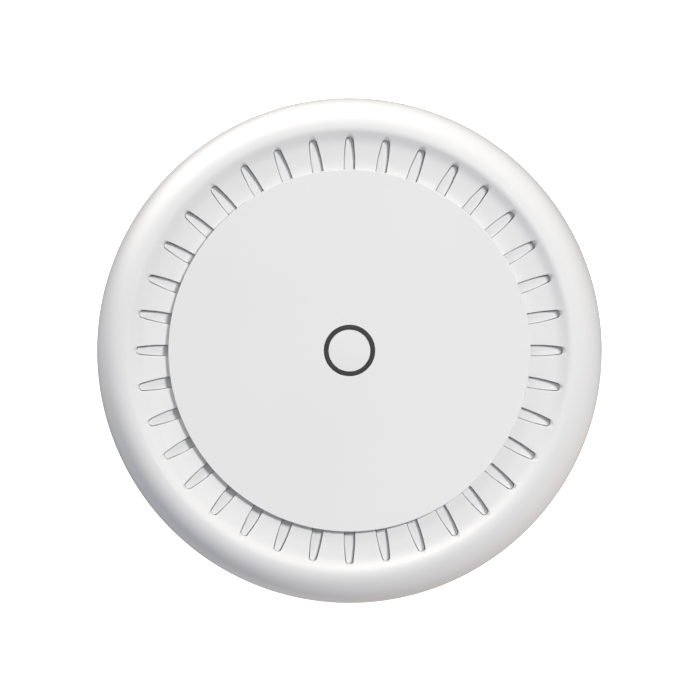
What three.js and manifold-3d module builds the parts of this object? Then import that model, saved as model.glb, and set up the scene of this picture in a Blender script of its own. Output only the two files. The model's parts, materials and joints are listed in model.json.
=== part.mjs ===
// Round ceiling access point with its twist-lock mounting bracket, as an assembly of separate solids.
// Millimetres. Z = 0 is the ceiling plane, +Z points out into the room, and the cable side faces -Y.

import * as THREE from "three";
import { mergeVertices } from "three/addons/utils/BufferGeometryUtils.js";
import Module from "manifold-3d";

const wasm = await Module();
wasm.setup();

// ---------------------------------------------------------------- driving dimensions

const BODY_RADIUS = 95.5; // largest radius of the housing
const BODY_HEIGHT = 43; // ceiling plane to the crown of the rim
const WALL = 2.2; // moulded wall thickness
const ROUND_SEGMENTS = 72; // facets round the big shells, two for each vent
const REAR_SEGMENTS = 60; // facets round the rear housing
const SMALL_SEGMENTS = 28; // facets round the centre pieces
const FIT = 0.3; // gap kept between pieces that touch

// Rim section: an elliptic shoulder above the widest point and an elliptic side below it.
const CROWN_RADIUS = 84; // where the rim is highest
const RIM_WIDEST_Z = 25;
const RIM_HALF_WIDTH = BODY_RADIUS - CROWN_RADIUS;
const RIM_RISE = BODY_HEIGHT - RIM_WIDEST_Z;
const SIDE_CENTRE_RADIUS = 86;
const SIDE_HALF_WIDTH = BODY_RADIUS - SIDE_CENTRE_RADIUS;
const SIDE_DROP = 26;

// Front: a raised disc in the middle of a vented channel.
const DISC_RADIUS = 68;
const DISC_TOP = 42.2;
const DISC_THICKNESS = 1.9;
const DISC_EDGE = 0.4;
const DISC_PEGS = { radius: 1.8, circle: 50, angles: [45, 135, 225, 315] };
const CHANNEL_Z = 40;
const CHANNEL_END_RADIUS = 76.5; // where the channel starts to rise to the rim

// Vents: bullet-shaped slots that start under the disc, with a baffle pad in each.
const VENT_COUNT = 36;
const VENT_START_RADIUS = 64;
const VENT_HALF_WIDTH = 2.1;
const VENT_TAPER_FROM = 72; // straight sides up to here
const VENT_CAP_RADIUS = 79; // where the round tip begins
const VENT_CAP_HALF_WIDTH = 1.6;
const VENT_TIP_RADIUS = 81;
const PAD_TOP = 38.5;
const BAFFLE_TOP = 36.8;
const BAFFLE_THICKNESS = 1.4;
const BAFFLE_INNER = 62;
const BAFFLE_OUTER = 82;

// Seam between the front cover and the rear housing.
const SEAM_Z = 14;
const LIP_THICKNESS = 1.5;
const LIP_HEIGHT = 3;

// Rear housing.
const BACK_Z = 1;
const POCKET_Z = 2.9;
const POCKET_RADIUS = 60.4;
const FLOOR_TOP = POCKET_Z + WALL;

// Cable bay on the -Y side, and the channel that leads to it from the middle.
const BAY = { halfWidth: 34, roof: 23, inner: -60, radius: 88, wall: 2 };
const PORT_WALL_BACK = -58;
const CHANNEL_HALF_WIDTH = 7;
const CABLE_CHANNEL_ROOF = 5.7;
const CABLE_CHANNEL_WALL = 1.5;
const BOSS_RADIUS = 2.8;
const SCREW_HOLE = 1.5;

// Cable door.
const DOOR_TRAVEL = 9;
const DOOR_TONGUE = { from: -70, to: -63, reach: 36.6, z0: 3.5, z1: 4.9 };
const DOOR_FOOT = { inner: 30, outer: 33 };
const EXIT_HALF_WIDTH = 8;
const EXIT_HEIGHT = 7.5;

// Main circuit board.
const BOARD_BOTTOM = 8;
const BOARD_TOP = 9.6;
const BOARD_HOLES = [[-39, 40], [39, 40], [-39.5, -44], [39.5, -44]];
const ON_BOARD = BOARD_TOP + FIT; // where the board's components stand

// Sockets that look out into the cable bay.
const SOCKET_FACE = -59.6;
const NETWORK_SOCKETS = [-9, 10];
const NETWORK_SOCKET = { halfWidth: 8, height: 12.7, depth: 21 };
const POWER_SOCKET_X = -25.5;
const POWER_SOCKET = { halfWidth: 4.5, height: 11, depth: 14 };

// Screws that hold the two shells together, from the back.
const CASE_SCREW_RADIUS = 56;
const CASE_SCREW_ANGLES = [30, 150, 210, 330];
const CASE_POST_RADIUS = 3.4;

// Bracket and its bayonet hooks.
const BRACKET_RADIUS = 57;
const BRACKET_THICKNESS = 1.6;
const BRACKET_HOLE = 15;
const BRACKET_NOTCH_HALF_WIDTH = 9;
const HOOK = { radius: 44, thickness: 1.6, halfWidth: 4, reach: 48.4, headBottom: 5.5, headTop: 6.9 };
const HOOK_ANGLES = [90, 210, 330];
const TWIST_DEGREES = 25;
const SLOT_INNER = 42.5;
const SLOT_OUTER = 45.5;
const KEY_OUTER = 49.2;
const HOOK_SPAN = 6.6; // half angle that clears a hook
const CEILING_SLOTS = { circle: 31, halfLength: 5, halfWidth: 2.2, angles: [0, 60, 120, 180] };

// Centre button, light ring and the small board behind them.
const BUTTON_RADIUS = 7.85;
const BUTTON_TRAVEL = 0.8;
const LIGHT_RING_INNER = 8.05;
const LIGHT_RING_OUTER = 9.45;
const DISC_HOLE = 9.64;
const COVER_HOLE = 9.8;
const LIGHT_BOARD = { bottom: 29, top: 30.2, radius: 17 };
const LIGHT_BOARD_HOLES = [[-13.8, 0], [13.8, 0]];
const SWITCH_TOP = 34.8;
const DIODE_CIRCLE = 8.75;
const DIODE_ANGLES = [45, 135, 225, 315];

// Reset button, through the wall of the bay.
const RESET = { x: 25, z: 13, radius: 1.7, travel: 0.6 };

// Antenna deck.
const DECK_RADIUS = 51.5;
const DECK_BOTTOM = 26.2;
const DECK_TOP = 27;
const DECK_POSTS = [[-30, 24], [30, 24], [-30, -22], [30, -22]];
const LEAD_HOLE_AT = 33;
const LEAD_HOLE_RADIUS = 4;
const ANTENNA_CIRCLE = 43;
const RIBBON_Y = 22.6;
const RIBBON_HALF_WIDTH = 4;

// ---------------------------------------------------------------- materials

const finish = (color, roughness, metalness = 0) => ({ color, roughness, metalness });

const WHITE_GLOSS = finish(0xf1f1f0, 0.3);
const WHITE_SATIN = finish(0xebecec, 0.5);
const WHITE_INNER = finish(0xe9e9e7, 0.6);
const SMOKED = finish(0x3f4040, 0.25);
const GREY_PLASTIC = finish(0x8d9092, 0.6);
const BLACK_PLASTIC = finish(0x1c1d1f, 0.55);
const BOARD_GREEN = finish(0x1d5a3a, 0.5);
const STEEL = finish(0xb9bcc0, 0.35, 1);
const ALUMINIUM = finish(0xc4c7ca, 0.4, 1);
const BRASS = finish(0xd2a64b, 0.3, 1);
const DIODE_YELLOW = finish(0xefe7b0, 0.4);
const RIBBON_WHITE = finish(0xe6e8ea, 0.5);
const THERMAL_BLUE = finish(0x6d93b8, 0.9);

// ---------------------------------------------------------------- solids

const MERGE_DISTANCE = 1e-4;

// A closed three.js geometry as a solid that can be joined and cut.
function solidOf(geometry) {
  const bare = geometry.clone();
  bare.deleteAttribute("normal");
  bare.deleteAttribute("uv");
  const merged = mergeVertices(bare, MERGE_DISTANCE);
  const corners = merged.index.array;
  const triVerts = [];
  for (let i = 0; i < corners.length; i += 3) {
    const [a, b, c] = corners.slice(i, i + 3);
    if (a !== b && b !== c && c !== a) triVerts.push(a, b, c);
  }
  const mesh = new wasm.Mesh({
    numProp: 3,
    vertProperties: merged.attributes.position.array,
    triVerts: new Uint32Array(triVerts),
  });
  return new wasm.Manifold(mesh);
}

// A solid as a three.js geometry.
function geometryOf(solid) {
  const mesh = solid.getMesh();
  const geometry = new THREE.BufferGeometry();
  geometry.setAttribute("position", new THREE.BufferAttribute(mesh.vertProperties, 3));
  geometry.setIndex(new THREE.BufferAttribute(mesh.triVerts, 1));
  geometry.computeVertexNormals();
  return geometry;
}

const join = (first, ...others) => others.flat().reduce((whole, piece) => whole.add(piece), first);
const cut = (first, ...tools) => tools.flat().reduce((whole, tool) => whole.subtract(tool), first);

function box(x0, x1, y0, y1, z0, z1) {
  const block = new THREE.BoxGeometry(x1 - x0, y1 - y0, z1 - z0);
  return solidOf(block.translate((x0 + x1) / 2, (y0 + y1) / 2, (z0 + z1) / 2));
}

// An upright round rod.
function rod(radius, z0, z1, x = 0, y = 0, sides = 16) {
  const cylinder = new THREE.CylinderGeometry(radius, radius, z1 - z0, sides);
  return solidOf(cylinder.rotateX(Math.PI / 2).translate(x, y, (z0 + z1) / 2));
}

// A round rod along Y.
function levelRod(radius, y0, y1, x, z, sides = 16) {
  const cylinder = new THREE.CylinderGeometry(radius, radius, y1 - y0, sides);
  return solidOf(cylinder.translate(x, (y0 + y1) / 2, z));
}

// A flat outline pulled up from z0 to z1.
function prism(shape, z0, z1, curveSegments = 6) {
  const block = new THREE.ExtrudeGeometry(shape, { depth: z1 - z0, bevelEnabled: false, curveSegments });
  return solidOf(block.translate(0, 0, z0));
}

const polygon = (points) => new THREE.Shape(points.map(([x, y]) => new THREE.Vector2(x, y)));

// A body of revolution about Z from a closed [radius, z] outline. An outline that reaches the axis
// starts and ends there.
function turned(outline, segments = ROUND_SEGMENTS) {
  const points = outline.map(([r, z]) => new THREE.Vector2(r, z));
  if (THREE.ShapeUtils.area(points) < 0) points.reverse();
  if (points[0].x > 0) points.push(points[0].clone());
  return solidOf(new THREE.LatheGeometry(points, segments).rotateX(Math.PI / 2));
}

const turnZ = (solid, angle) => solid.rotate([0, 0, angle]);
const radians = (angle) => (angle * Math.PI) / 180;
const polar = (radius, angle) => [radius * Math.cos(radians(angle)), radius * Math.sin(radians(angle))];
const steps = (from, to, count) =>
  Array.from({ length: count + 1 }, (_, i) => from + ((to - from) * i) / count);

// A flat ring sector between two radii and two angles.
function ringSector(inner, outer, from, to) {
  const shape = new THREE.Shape();
  shape.absarc(0, 0, outer, radians(from), radians(to), false);
  shape.absarc(0, 0, inner, radians(to), radians(from), true);
  return shape;
}

// ---------------------------------------------------------------- housing section

// Outer radius of the housing at a height below the widest point.
function sideRadius(z, inset = 0) {
  const below = (RIM_WIDEST_Z - z) / SIDE_DROP;
  return SIDE_CENTRE_RADIUS + SIDE_HALF_WIDTH * Math.sqrt(1 - below * below) - inset;
}

const sidePoints = (from, to, count, inset = 0) =>
  steps(from, to, count).map((z) => [sideRadius(z, inset), z]);

// Points of the rim from the crown down to the widest point.
function rimPoints(inset, count) {
  const width = RIM_HALF_WIDTH - inset;
  const rise = RIM_RISE - inset;
  const quarter = new THREE.EllipseCurve(CROWN_RADIUS, RIM_WIDEST_Z, width, rise, Math.PI / 2, 0, true);
  return quarter.getPoints(count).map((p) => [p.x, p.y]);
}

// The rise from the channel floor, hollow at its foot and rounded at its lip, up to the crown.
function channelRise(drop, count) {
  const rise = new THREE.CubicBezierCurve(
    new THREE.Vector2(CHANNEL_END_RADIUS, CHANNEL_Z - drop),
    new THREE.Vector2(CHANNEL_END_RADIUS + 3.8, CHANNEL_Z + 0.2 - drop),
    new THREE.Vector2(CROWN_RADIUS - 2, BODY_HEIGHT - drop),
    new THREE.Vector2(CROWN_RADIUS, BODY_HEIGHT - drop),
  );
  return rise.getPoints(count).map((p) => [p.x, p.y]);
}

// ---------------------------------------------------------------- front pieces

// A vent's outline along +X: straight sides that draw in a little to a blunt round tip.
function ventShape(inset = 0, startRadius = VENT_START_RADIUS) {
  const tipLength = VENT_TIP_RADIUS - VENT_CAP_RADIUS;
  const upper = [
    [startRadius, VENT_HALF_WIDTH - inset],
    [VENT_TAPER_FROM, VENT_HALF_WIDTH - inset],
    [VENT_CAP_RADIUS, VENT_CAP_HALF_WIDTH - inset],
    [VENT_CAP_RADIUS + 0.7 * (tipLength - inset), 0.7 * (VENT_CAP_HALF_WIDTH - inset)],
  ];
  const lower = upper.map(([r, half]) => [r, -half]).reverse();
  return polygon([...lower, ...upper, [VENT_TIP_RADIUS - inset, 0]].reverse());
}

const ventAngles = Array.from({ length: VENT_COUNT }, (_, i) => (i * 360) / VENT_COUNT);

// Every case screw's place.
const caseScrewPlaces = CASE_SCREW_ANGLES.map((angle) => polar(CASE_SCREW_RADIUS, angle));
const pegPlaces = DISC_PEGS.angles.map((angle) => polar(DISC_PEGS.circle, angle));

function frontCover() {
  const outer = [
    [COVER_HOLE, CHANNEL_Z],
    ...channelRise(0, 4),
    ...rimPoints(0, 5).slice(1),
    [sideRadius(SEAM_Z), SEAM_Z],
  ];
  const inner = [
    [COVER_HOLE, CHANNEL_Z - WALL],
    ...channelRise(WALL, 2),
    ...rimPoints(WALL, 2).slice(1),
    [sideRadius(SEAM_Z, WALL), SEAM_Z],
  ];
  const shell = turned([...outer, ...inner.reverse()]);
  const vent = prism(ventShape(), CHANNEL_Z - 2 * WALL, BODY_HEIGHT, 2);
  const upright = (radius, bottom) => ([x, y]) => rod(radius, bottom, CHANNEL_Z - 1, x, y, 12);
  const posts = caseScrewPlaces.map(upright(CASE_POST_RADIUS, FLOOR_TOP + FIT));
  const bosses = LIGHT_BOARD_HOLES.map(upright(2.2, LIGHT_BOARD.top + FIT));
  const screwHoles = caseScrewPlaces.map(([x, y]) => rod(SCREW_HOLE, 0, 18, x, y, 8));
  const bossHoles = LIGHT_BOARD_HOLES.map(([x, y]) => rod(1.2, 20, 36, x, y, 8));
  const pegHoles = pegPlaces.map(([x, y]) => rod(DISC_PEGS.radius + FIT, 30, BODY_HEIGHT, x, y, 10));
  const whole = join(shell, posts, bosses);
  return cut(whole, ventAngles.map((angle) => turnZ(vent, angle)), screwHoles, bossHoles, pegHoles);
}

function frontDisc() {
  const bottom = DISC_TOP - DISC_THICKNESS;
  const plate = turned([
    [DISC_HOLE, bottom],
    [DISC_RADIUS, bottom],
    [DISC_RADIUS, DISC_TOP - DISC_EDGE],
    [DISC_RADIUS - DISC_EDGE, DISC_TOP],
    [DISC_HOLE, DISC_TOP],
  ]);
  const pegs = pegPlaces.map(([x, y]) => rod(DISC_PEGS.radius, CHANNEL_Z - WALL - 1, bottom + 1, x, y, 10));
  return join(plate, pegs);
}

// The white ring behind the vents, with a pad that fills each vent but for a narrow gap at its sides.
function ventBaffle() {
  const bottom = BAFFLE_TOP - BAFFLE_THICKNESS;
  const ring = turned([
    [BAFFLE_INNER, bottom],
    [BAFFLE_OUTER, bottom],
    [BAFFLE_OUTER, BAFFLE_TOP],
    [BAFFLE_INNER, BAFFLE_TOP],
  ]);
  const pad = prism(ventShape(FIT, BAFFLE_INNER + 2.4), BAFFLE_TOP - 0.5, PAD_TOP, 1);
  const spacer = box(72, 74, -1, 1, BAFFLE_TOP - 0.5, CHANNEL_Z - WALL - FIT);
  const spacerAngles = steps(5, 305, 5);
  const pads = ventAngles.map((angle) => turnZ(pad, angle));
  return join(ring, pads, spacerAngles.map((angle) => turnZ(spacer, angle)));
}

function lightRing() {
  const underCover = CHANNEL_Z - WALL - FIT;
  return turned(
    [
      [LIGHT_RING_INNER, 33],
      [LIGHT_RING_OUTER, 33],
      [LIGHT_RING_OUTER, underCover - 1.4],
      [LIGHT_RING_OUTER + 1.8, underCover - 1.4],
      [LIGHT_RING_OUTER + 1.8, underCover],
      [LIGHT_RING_OUTER, underCover],
      [LIGHT_RING_OUTER, DISC_TOP - 0.1],
      [LIGHT_RING_INNER, DISC_TOP - 0.1],
    ],
    SMALL_SEGMENTS,
  );
}

function modeButton() {
  const top = DISC_TOP - 0.05;
  const cap = turned(
    [
      [0, top - 2],
      [BUTTON_RADIUS - 1.4, top - 2],
      [BUTTON_RADIUS - 1.4, 37],
      [BUTTON_RADIUS, 37],
      [BUTTON_RADIUS, top - 0.25],
      [BUTTON_RADIUS - 0.25, top],
      [0, top],
    ],
    SMALL_SEGMENTS,
  );
  return join(cap, rod(1.8, SWITCH_TOP + BUTTON_TRAVEL + 0.1, top - 1, 0, 0, 12));
}

// ---------------------------------------------------------------- rear pieces

// A hook's way through the housing: a wide key hole, and the narrow arc that the hook locks into.
function hookSlot(angle) {
  const entry = angle - TWIST_DEGREES;
  const key = ringSector(SLOT_INNER, KEY_OUTER, entry - HOOK_SPAN, entry + HOOK_SPAN);
  const arc = ringSector(SLOT_INNER, SLOT_OUTER, entry, angle + HOOK_SPAN);
  return [prism(key, 0, BOARD_BOTTOM, 4), prism(arc, 0, BOARD_BOTTOM, 6)];
}

// The outline of the cable bay, grown by a margin.
function bayShape(margin) {
  const radius = BAY.radius + margin;
  const half = BAY.halfWidth + margin;
  const reach = Math.asin(half / radius);
  const shape = new THREE.Shape();
  shape.moveTo(-half, BAY.inner + margin);
  shape.lineTo(-half, -radius * Math.cos(reach));
  shape.absarc(0, 0, radius, -Math.PI / 2 - reach, -Math.PI / 2 + reach, false);
  shape.lineTo(half, BAY.inner + margin);
  return shape;
}

function rearHousing() {
  const seamZ = SEAM_Z - FIT;
  const lipOuter = sideRadius(SEAM_Z, WALL + FIT);
  const shell = turned([
    [0, FLOOR_TOP],
    [POCKET_RADIUS + WALL, FLOOR_TOP],
    [POCKET_RADIUS + WALL, BACK_Z + WALL],
    ...sidePoints(BACK_Z + WALL, seamZ - 3, 1, WALL + FIT),
    [lipOuter - LIP_THICKNESS, seamZ],
    [lipOuter - LIP_THICKNESS, seamZ + LIP_HEIGHT],
    [lipOuter, seamZ + LIP_HEIGHT],
    [lipOuter, seamZ],
    ...sidePoints(seamZ, BACK_Z, 3),
    [POCKET_RADIUS, BACK_Z],
    [POCKET_RADIUS, POCKET_Z],
    [0, POCKET_Z],
  ], REAR_SEGMENTS);
  const bayOuter = prism(bayShape(BAY.wall), BACK_Z + 0.5, BAY.roof + BAY.wall, 6);
  const channelReach = CHANNEL_HALF_WIDTH + CABLE_CHANNEL_WALL;
  const channelTop = CABLE_CHANNEL_ROOF + CABLE_CHANNEL_WALL;
  const channelBox = box(-channelReach, channelReach, BAY.inner + 1, 8.6, POCKET_Z, channelTop);
  const postUpTo = (top) => ([x, y]) => rod(BOSS_RADIUS, POCKET_Z + 1, top, x, y, 12);
  const boardBosses = BOARD_HOLES.map(postUpTo(BOARD_BOTTOM - FIT));
  const deckPosts = DECK_POSTS.map(postUpTo(DECK_BOTTOM - FIT));
  const solid = join(shell, bayOuter, channelBox, boardBosses, deckPosts);

  const bayInside = prism(bayShape(0), BACK_Z - 1, BAY.roof, 6);
  const openingTop = seamZ + LIP_HEIGHT + 1;
  const sideOpening = box(-BAY.halfWidth, BAY.halfWidth, -BODY_RADIUS - 1, BAY.inner, 0, openingTop);
  const outsideBay = cut(sideOpening, prism(bayShape(BAY.wall), seamZ, BAY.roof, 6));
  const cableChannel = box(-CHANNEL_HALF_WIDTH, CHANNEL_HALF_WIDTH, BAY.inner - 1, 7, 0, CABLE_CHANNEL_ROOF);
  const slotEnd = DOOR_TONGUE.from - DOOR_TRAVEL - 1;
  const slotReach = DOOR_TONGUE.reach + FIT;
  const slotStart = DOOR_TONGUE.to + FIT;
  const tongueSlot = box(-slotReach, slotReach, slotEnd, slotStart, BACK_Z + WALL, DOOR_TONGUE.z1 + FIT);
  const windowFor = (x, { halfWidth, height }) => {
    const reach = halfWidth + FIT;
    const [z0, z1] = [ON_BOARD - FIT, ON_BOARD + height + FIT];
    return box(x - reach, x + reach, BAY.inner - 1, PORT_WALL_BACK + 1, z0, z1);
  };
  const ports = [
    ...NETWORK_SOCKETS.map((x) => windowFor(x, NETWORK_SOCKET)),
    windowFor(POWER_SOCKET_X, POWER_SOCKET),
    levelRod(RESET.radius + FIT, BAY.inner - 1, PORT_WALL_BACK + 1, RESET.x, RESET.z, 12),
  ];
  const boardHoles = BOARD_HOLES.map(([x, y]) => rod(SCREW_HOLE, FLOOR_TOP - 0.6, 20, x, y, 8));
  const deckHoles = DECK_POSTS.map(([x, y]) => rod(SCREW_HOLE, DECK_BOTTOM - 9, 30, x, y, 8));
  const caseHoles = caseScrewPlaces.map(([x, y]) => [rod(1.9, 0, 7, x, y, 12), rod(3.5, 0, 4.2, x, y, 12)]);
  const tools = [bayInside, outsideBay, cableChannel, tongueSlot, ...ports, ...boardHoles, ...deckHoles];
  return cut(solid, tools, caseHoles.flat(), HOOK_ANGLES.flatMap(hookSlot));
}

// The door closes the bay's back and its side, and carries the round wall of the housing across it.
function cableDoor() {
  const top = SEAM_Z - FIT;
  const ring = turned([
    ...sidePoints(top, BACK_Z, 3),
    [55, BACK_Z],
    [55, BACK_Z + WALL],
    ...sidePoints(BACK_Z + WALL, top, 2, WALL),
  ]);
  const window = box(-BAY.halfWidth + FIT, BAY.halfWidth - FIT, -BODY_RADIUS, BAY.inner - 1, 0, BODY_HEIGHT);
  const panel = ring.intersect(window);
  const { from, to, reach, z0, z1 } = DOOR_TONGUE;
  const { inner, outer } = DOOR_FOOT;
  const tongues = [box(inner, reach, from, to, z0, z1), box(-reach, -inner, from, to, z0, z1)];
  const feet = [box(inner, outer, from, to, BACK_Z + 1, z1), box(-outer, -inner, from, to, BACK_Z + 1, z1)];
  const exit = box(-EXIT_HALF_WIDTH, EXIT_HALF_WIDTH, -BODY_RADIUS - 1, -78, 0, EXIT_HEIGHT);
  const notch = box(-CHANNEL_HALF_WIDTH, CHANNEL_HALF_WIDTH, -66, -50, 0, 9);
  return cut(join(panel, tongues, feet), exit, notch);
}

function mountingBracket() {
  const plate = rod(BRACKET_RADIUS, 0, BRACKET_THICKNESS, 0, 0, 60);
  const stemInner = HOOK.radius - HOOK.thickness / 2;
  const stemOuter = stemInner + HOOK.thickness;
  const stem = box(stemInner, stemOuter, -HOOK.halfWidth, HOOK.halfWidth, 0.5, HOOK.headTop);
  const head = box(stemInner, HOOK.reach, -HOOK.halfWidth, HOOK.halfWidth, HOOK.headBottom, HOOK.headTop);
  const hooks = HOOK_ANGLES.map((angle) => turnZ(stem.add(head), angle));
  const lightening = ringSector(40, 50, 12, 48);
  const windows = [0, 120].map((angle) => turnZ(prism(lightening, -1, 3, 5), angle));
  const centre = rod(BRACKET_HOLE, -1, 3, 0, 0, 32);
  const notch = box(-BRACKET_NOTCH_HALF_WIDTH, BRACKET_NOTCH_HALF_WIDTH, -BRACKET_RADIUS - 1, 0, -1, 3);
  const slotAt = (angle) => {
    const { circle, halfLength, halfWidth } = CEILING_SLOTS;
    const slot = new THREE.Shape();
    slot.absarc(circle, halfLength, halfWidth, 0, Math.PI, false);
    slot.absarc(circle, -halfLength, halfWidth, Math.PI, 2 * Math.PI, false);
    return turnZ(prism(slot, -1, 3, 4), angle);
  };
  return cut(join(plate, hooks), windows, centre, notch, CEILING_SLOTS.angles.map(slotAt));
}

// ---------------------------------------------------------------- boards and what stands on them

function mainBoard() {
  const outline = polygon([
    [-36, -55.6],
    [36, -55.6],
    [44, -49],
    [44, 38],
    [37, 46],
    [-37, 46],
    [-44, 38],
    [-44, -49],
  ]);
  const board = prism(outline, BOARD_BOTTOM, BOARD_TOP);
  const holes = BOARD_HOLES.map(([x, y]) => rod(SCREW_HOLE, 0, 20, x, y, 10));
  const postHoles = DECK_POSTS.map(([x, y]) => rod(BOSS_RADIUS + FIT, 0, 20, x, y, 12));
  return cut(board, holes, postHoles);
}

function lightBoard() {
  const disc = rod(LIGHT_BOARD.radius, LIGHT_BOARD.bottom, LIGHT_BOARD.top, 0, 0, SMALL_SEGMENTS);
  return cut(disc, LIGHT_BOARD_HOLES.map(([x, y]) => rod(1.3, 20, 40, x, y, 8)));
}

// A component with small chamfered top edges, like a moulded chip package.
function chip(x, y, width, depth, height, bottom = ON_BOARD) {
  const shape = polygon([
    [-width / 2, -depth / 2],
    [width / 2, -depth / 2],
    [width / 2, depth / 2],
    [-width / 2, depth / 2],
  ]);
  const bevel = Math.min(0.3, height / 4);
  const block = new THREE.ExtrudeGeometry(shape, {
    depth: height - 2 * bevel,
    bevelThickness: bevel,
    bevelSize: bevel,
    bevelOffset: -bevel,
    bevelSegments: 1,
  });
  return solidOf(block.translate(x, y, bottom + bevel));
}

function socketBody(x, { halfWidth, height, depth }) {
  return box(x - halfWidth, x + halfWidth, SOCKET_FACE, SOCKET_FACE + depth, ON_BOARD, ON_BOARD + height);
}

function networkSocket(x) {
  const mouth = box(x - 5.9, x + 5.9, SOCKET_FACE - 1, SOCKET_FACE + 14, ON_BOARD + 3.2, ON_BOARD + 11.2);
  const latchWay = box(x - 3, x + 3, SOCKET_FACE - 1, SOCKET_FACE + 11, ON_BOARD + 1.2, ON_BOARD + 4);
  return cut(socketBody(x, NETWORK_SOCKET), mouth, latchWay);
}

function powerSocket() {
  const middle = ON_BOARD + POWER_SOCKET.height / 2;
  const barrel = levelRod(3.1, SOCKET_FACE - 1, SOCKET_FACE + 10, POWER_SOCKET_X, middle, 16);
  const pin = levelRod(1, SOCKET_FACE + 1, SOCKET_FACE + 11, POWER_SOCKET_X, middle, 10);
  return join(cut(socketBody(POWER_SOCKET_X, POWER_SOCKET), barrel), pin);
}

// A comb section pulled along Y: a plate with upright fins.
function heatSink() {
  const bottom = 12.5;
  const plateTop = 14.3;
  const finTop = 22;
  const halfWidth = 24;
  const finCount = 9;
  const pitch = (2 * halfWidth - 1.6) / (finCount - 1);
  const top = [];
  for (let i = 0; i < finCount; i++) {
    const left = -halfWidth + i * pitch;
    top.push([left, plateTop], [left, finTop], [left + 1.6, finTop], [left + 1.6, plateTop]);
  }
  const comb = polygon([[-halfWidth, bottom], ...top.slice(1, -1), [halfWidth, bottom]]);
  const block = new THREE.ExtrudeGeometry(comb, { depth: 38, bevelEnabled: false });
  return solidOf(block.rotateX(Math.PI / 2).translate(0, 20, 0));
}

function shieldCan(x) {
  const outer = box(x - 10, x + 10, 27, 42, ON_BOARD, ON_BOARD + 3);
  const inner = box(x - 9.6, x + 9.6, 27.4, 41.6, ON_BOARD - 1, ON_BOARD + 2.6);
  return cut(outer, inner);
}

function tactSwitch(x, y, bottom, top) {
  const body = chip(x, y, 6, 6, 3.4, bottom);
  return join(body, rod(1.6, bottom + 1, top, x, y, 12));
}

// The reset switch lies on its side and faces the bay.
function resetSwitch() {
  const body = box(RESET.x - 3, RESET.x + 3, -53, -49.6, ON_BOARD, ON_BOARD + 6);
  return join(body, levelRod(1.2, -54, -52, RESET.x, RESET.z, 10));
}

function resetButton() {
  const back = -54 - RESET.travel - 0.1;
  const stem = levelRod(RESET.radius, -60.5, back, RESET.x, RESET.z, 16);
  const flange = levelRod(RESET.radius + 1, -57.7, -56.9, RESET.x, RESET.z, 16);
  return join(stem, flange);
}

function antennaDeck() {
  const plate = rod(DECK_RADIUS, DECK_BOTTOM, DECK_TOP, 0, 0, 48);
  const screwHoles = DECK_POSTS.map(([x, y]) => rod(SCREW_HOLE, 20, 30, x, y, 8));
  const leadHoles = [45, 135, 225, 315].map((angle) => {
    const [x, y] = polar(LEAD_HOLE_AT * Math.SQRT2, angle);
    return rod(LEAD_HOLE_RADIUS, 20, 30, x, y, 12);
  });
  const ribbonSlot = box(-6, 6, RIBBON_Y - 2, RIBBON_Y + 2, 20, 30);
  return cut(plate, screwHoles, leadHoles, ribbonSlot);
}

const ANTENNAS = [
  { name: "antenna_1", angle: 0, length: 26 },
  { name: "antenna_2", angle: 90, length: 15 },
  { name: "antenna_3", angle: 180, length: 26 },
  { name: "antenna_4", angle: 270, length: 15 },
];

// A stamped antenna: an upright F on a foot that lies on the deck.
function antenna({ angle, length }) {
  const half = length / 2;
  const low = DECK_TOP + FIT;
  const outline = polygon([
    [-half, low],
    [-half + 5, low],
    [-half + 5, 32.8],
    [-half + 8, 32.8],
    [-half + 8, 30.4],
    [-half + 9.5, 30.4],
    [-half + 9.5, 32.8],
    [half, 32.8],
    [half, 35],
    [-half, 35],
  ]);
  const sheet = new THREE.ExtrudeGeometry(outline, { depth: 0.8, bevelEnabled: false });
  const upright = solidOf(sheet.rotateX(Math.PI / 2).rotateZ(Math.PI / 2).translate(ANTENNA_CIRCLE, 0, 0));
  const foot = box(ANTENNA_CIRCLE - 5, ANTENNA_CIRCLE + 0.5, -half, -half + 5, low, low + 0.8);
  return turnZ(join(upright, foot), angle);
}

const LEAD_STEPS = 12;

// A coaxial lead: from its antenna, through the deck, to a small round plug on the board.
function antennaLead(route) {
  const curve = new THREE.CatmullRomCurve3(route.map((point) => new THREE.Vector3(...point)));
  const section = new THREE.Shape();
  section.absarc(0, 0, 0.7, 0, 2 * Math.PI, false);
  const path = { steps: LEAD_STEPS, extrudePath: curve, curveSegments: 3 };
  const tube = new THREE.ExtrudeGeometry(section, path);
  const [x, y, z] = route[route.length - 1];
  return join(solidOf(tube), rod(1.4, z - 0.6, z + 0.9, x, y, 10));
}

const LEAD_Z = 28.4;
const FEED_Z = 31;
const LEAD_ROUTES = [
  [
    [41.4, -4.2, FEED_Z],
    [40, 3, LEAD_Z],
    [38, 20, LEAD_Z],
    [34.7, 31.6, 27.4],
    [34.6, 34, 22],
    [29, 38, 13],
    [27, 36, 11],
  ],
  [
    [-1.2, 41.4, FEED_Z],
    [2, 36.5, LEAD_Z],
    [22, 33, LEAD_Z],
    [31.6, 32.6, 27.2],
    [32, 35, 21],
    [11, 38, 17.5],
    [0, 37, 14.5],
    [0, 36, 11],
  ],
  [
    [-41.4, 4.2, FEED_Z],
    [-36, 8, LEAD_Z],
    [-34.5, 22, LEAD_Z],
    [-33, 32, 27.4],
    [-33.5, 34, 22],
    [-29, 38, 13],
    [-27, 36, 11],
  ],
  [
    [1.2, -41.4, FEED_Z],
    [-2, -36.5, LEAD_Z],
    [-22, -34, LEAD_Z],
    [-32, -32.6, 27.4],
    [-37, -27, 22],
    [-42, 8, 16],
    [-34, 31, 11],
  ],
];

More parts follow.
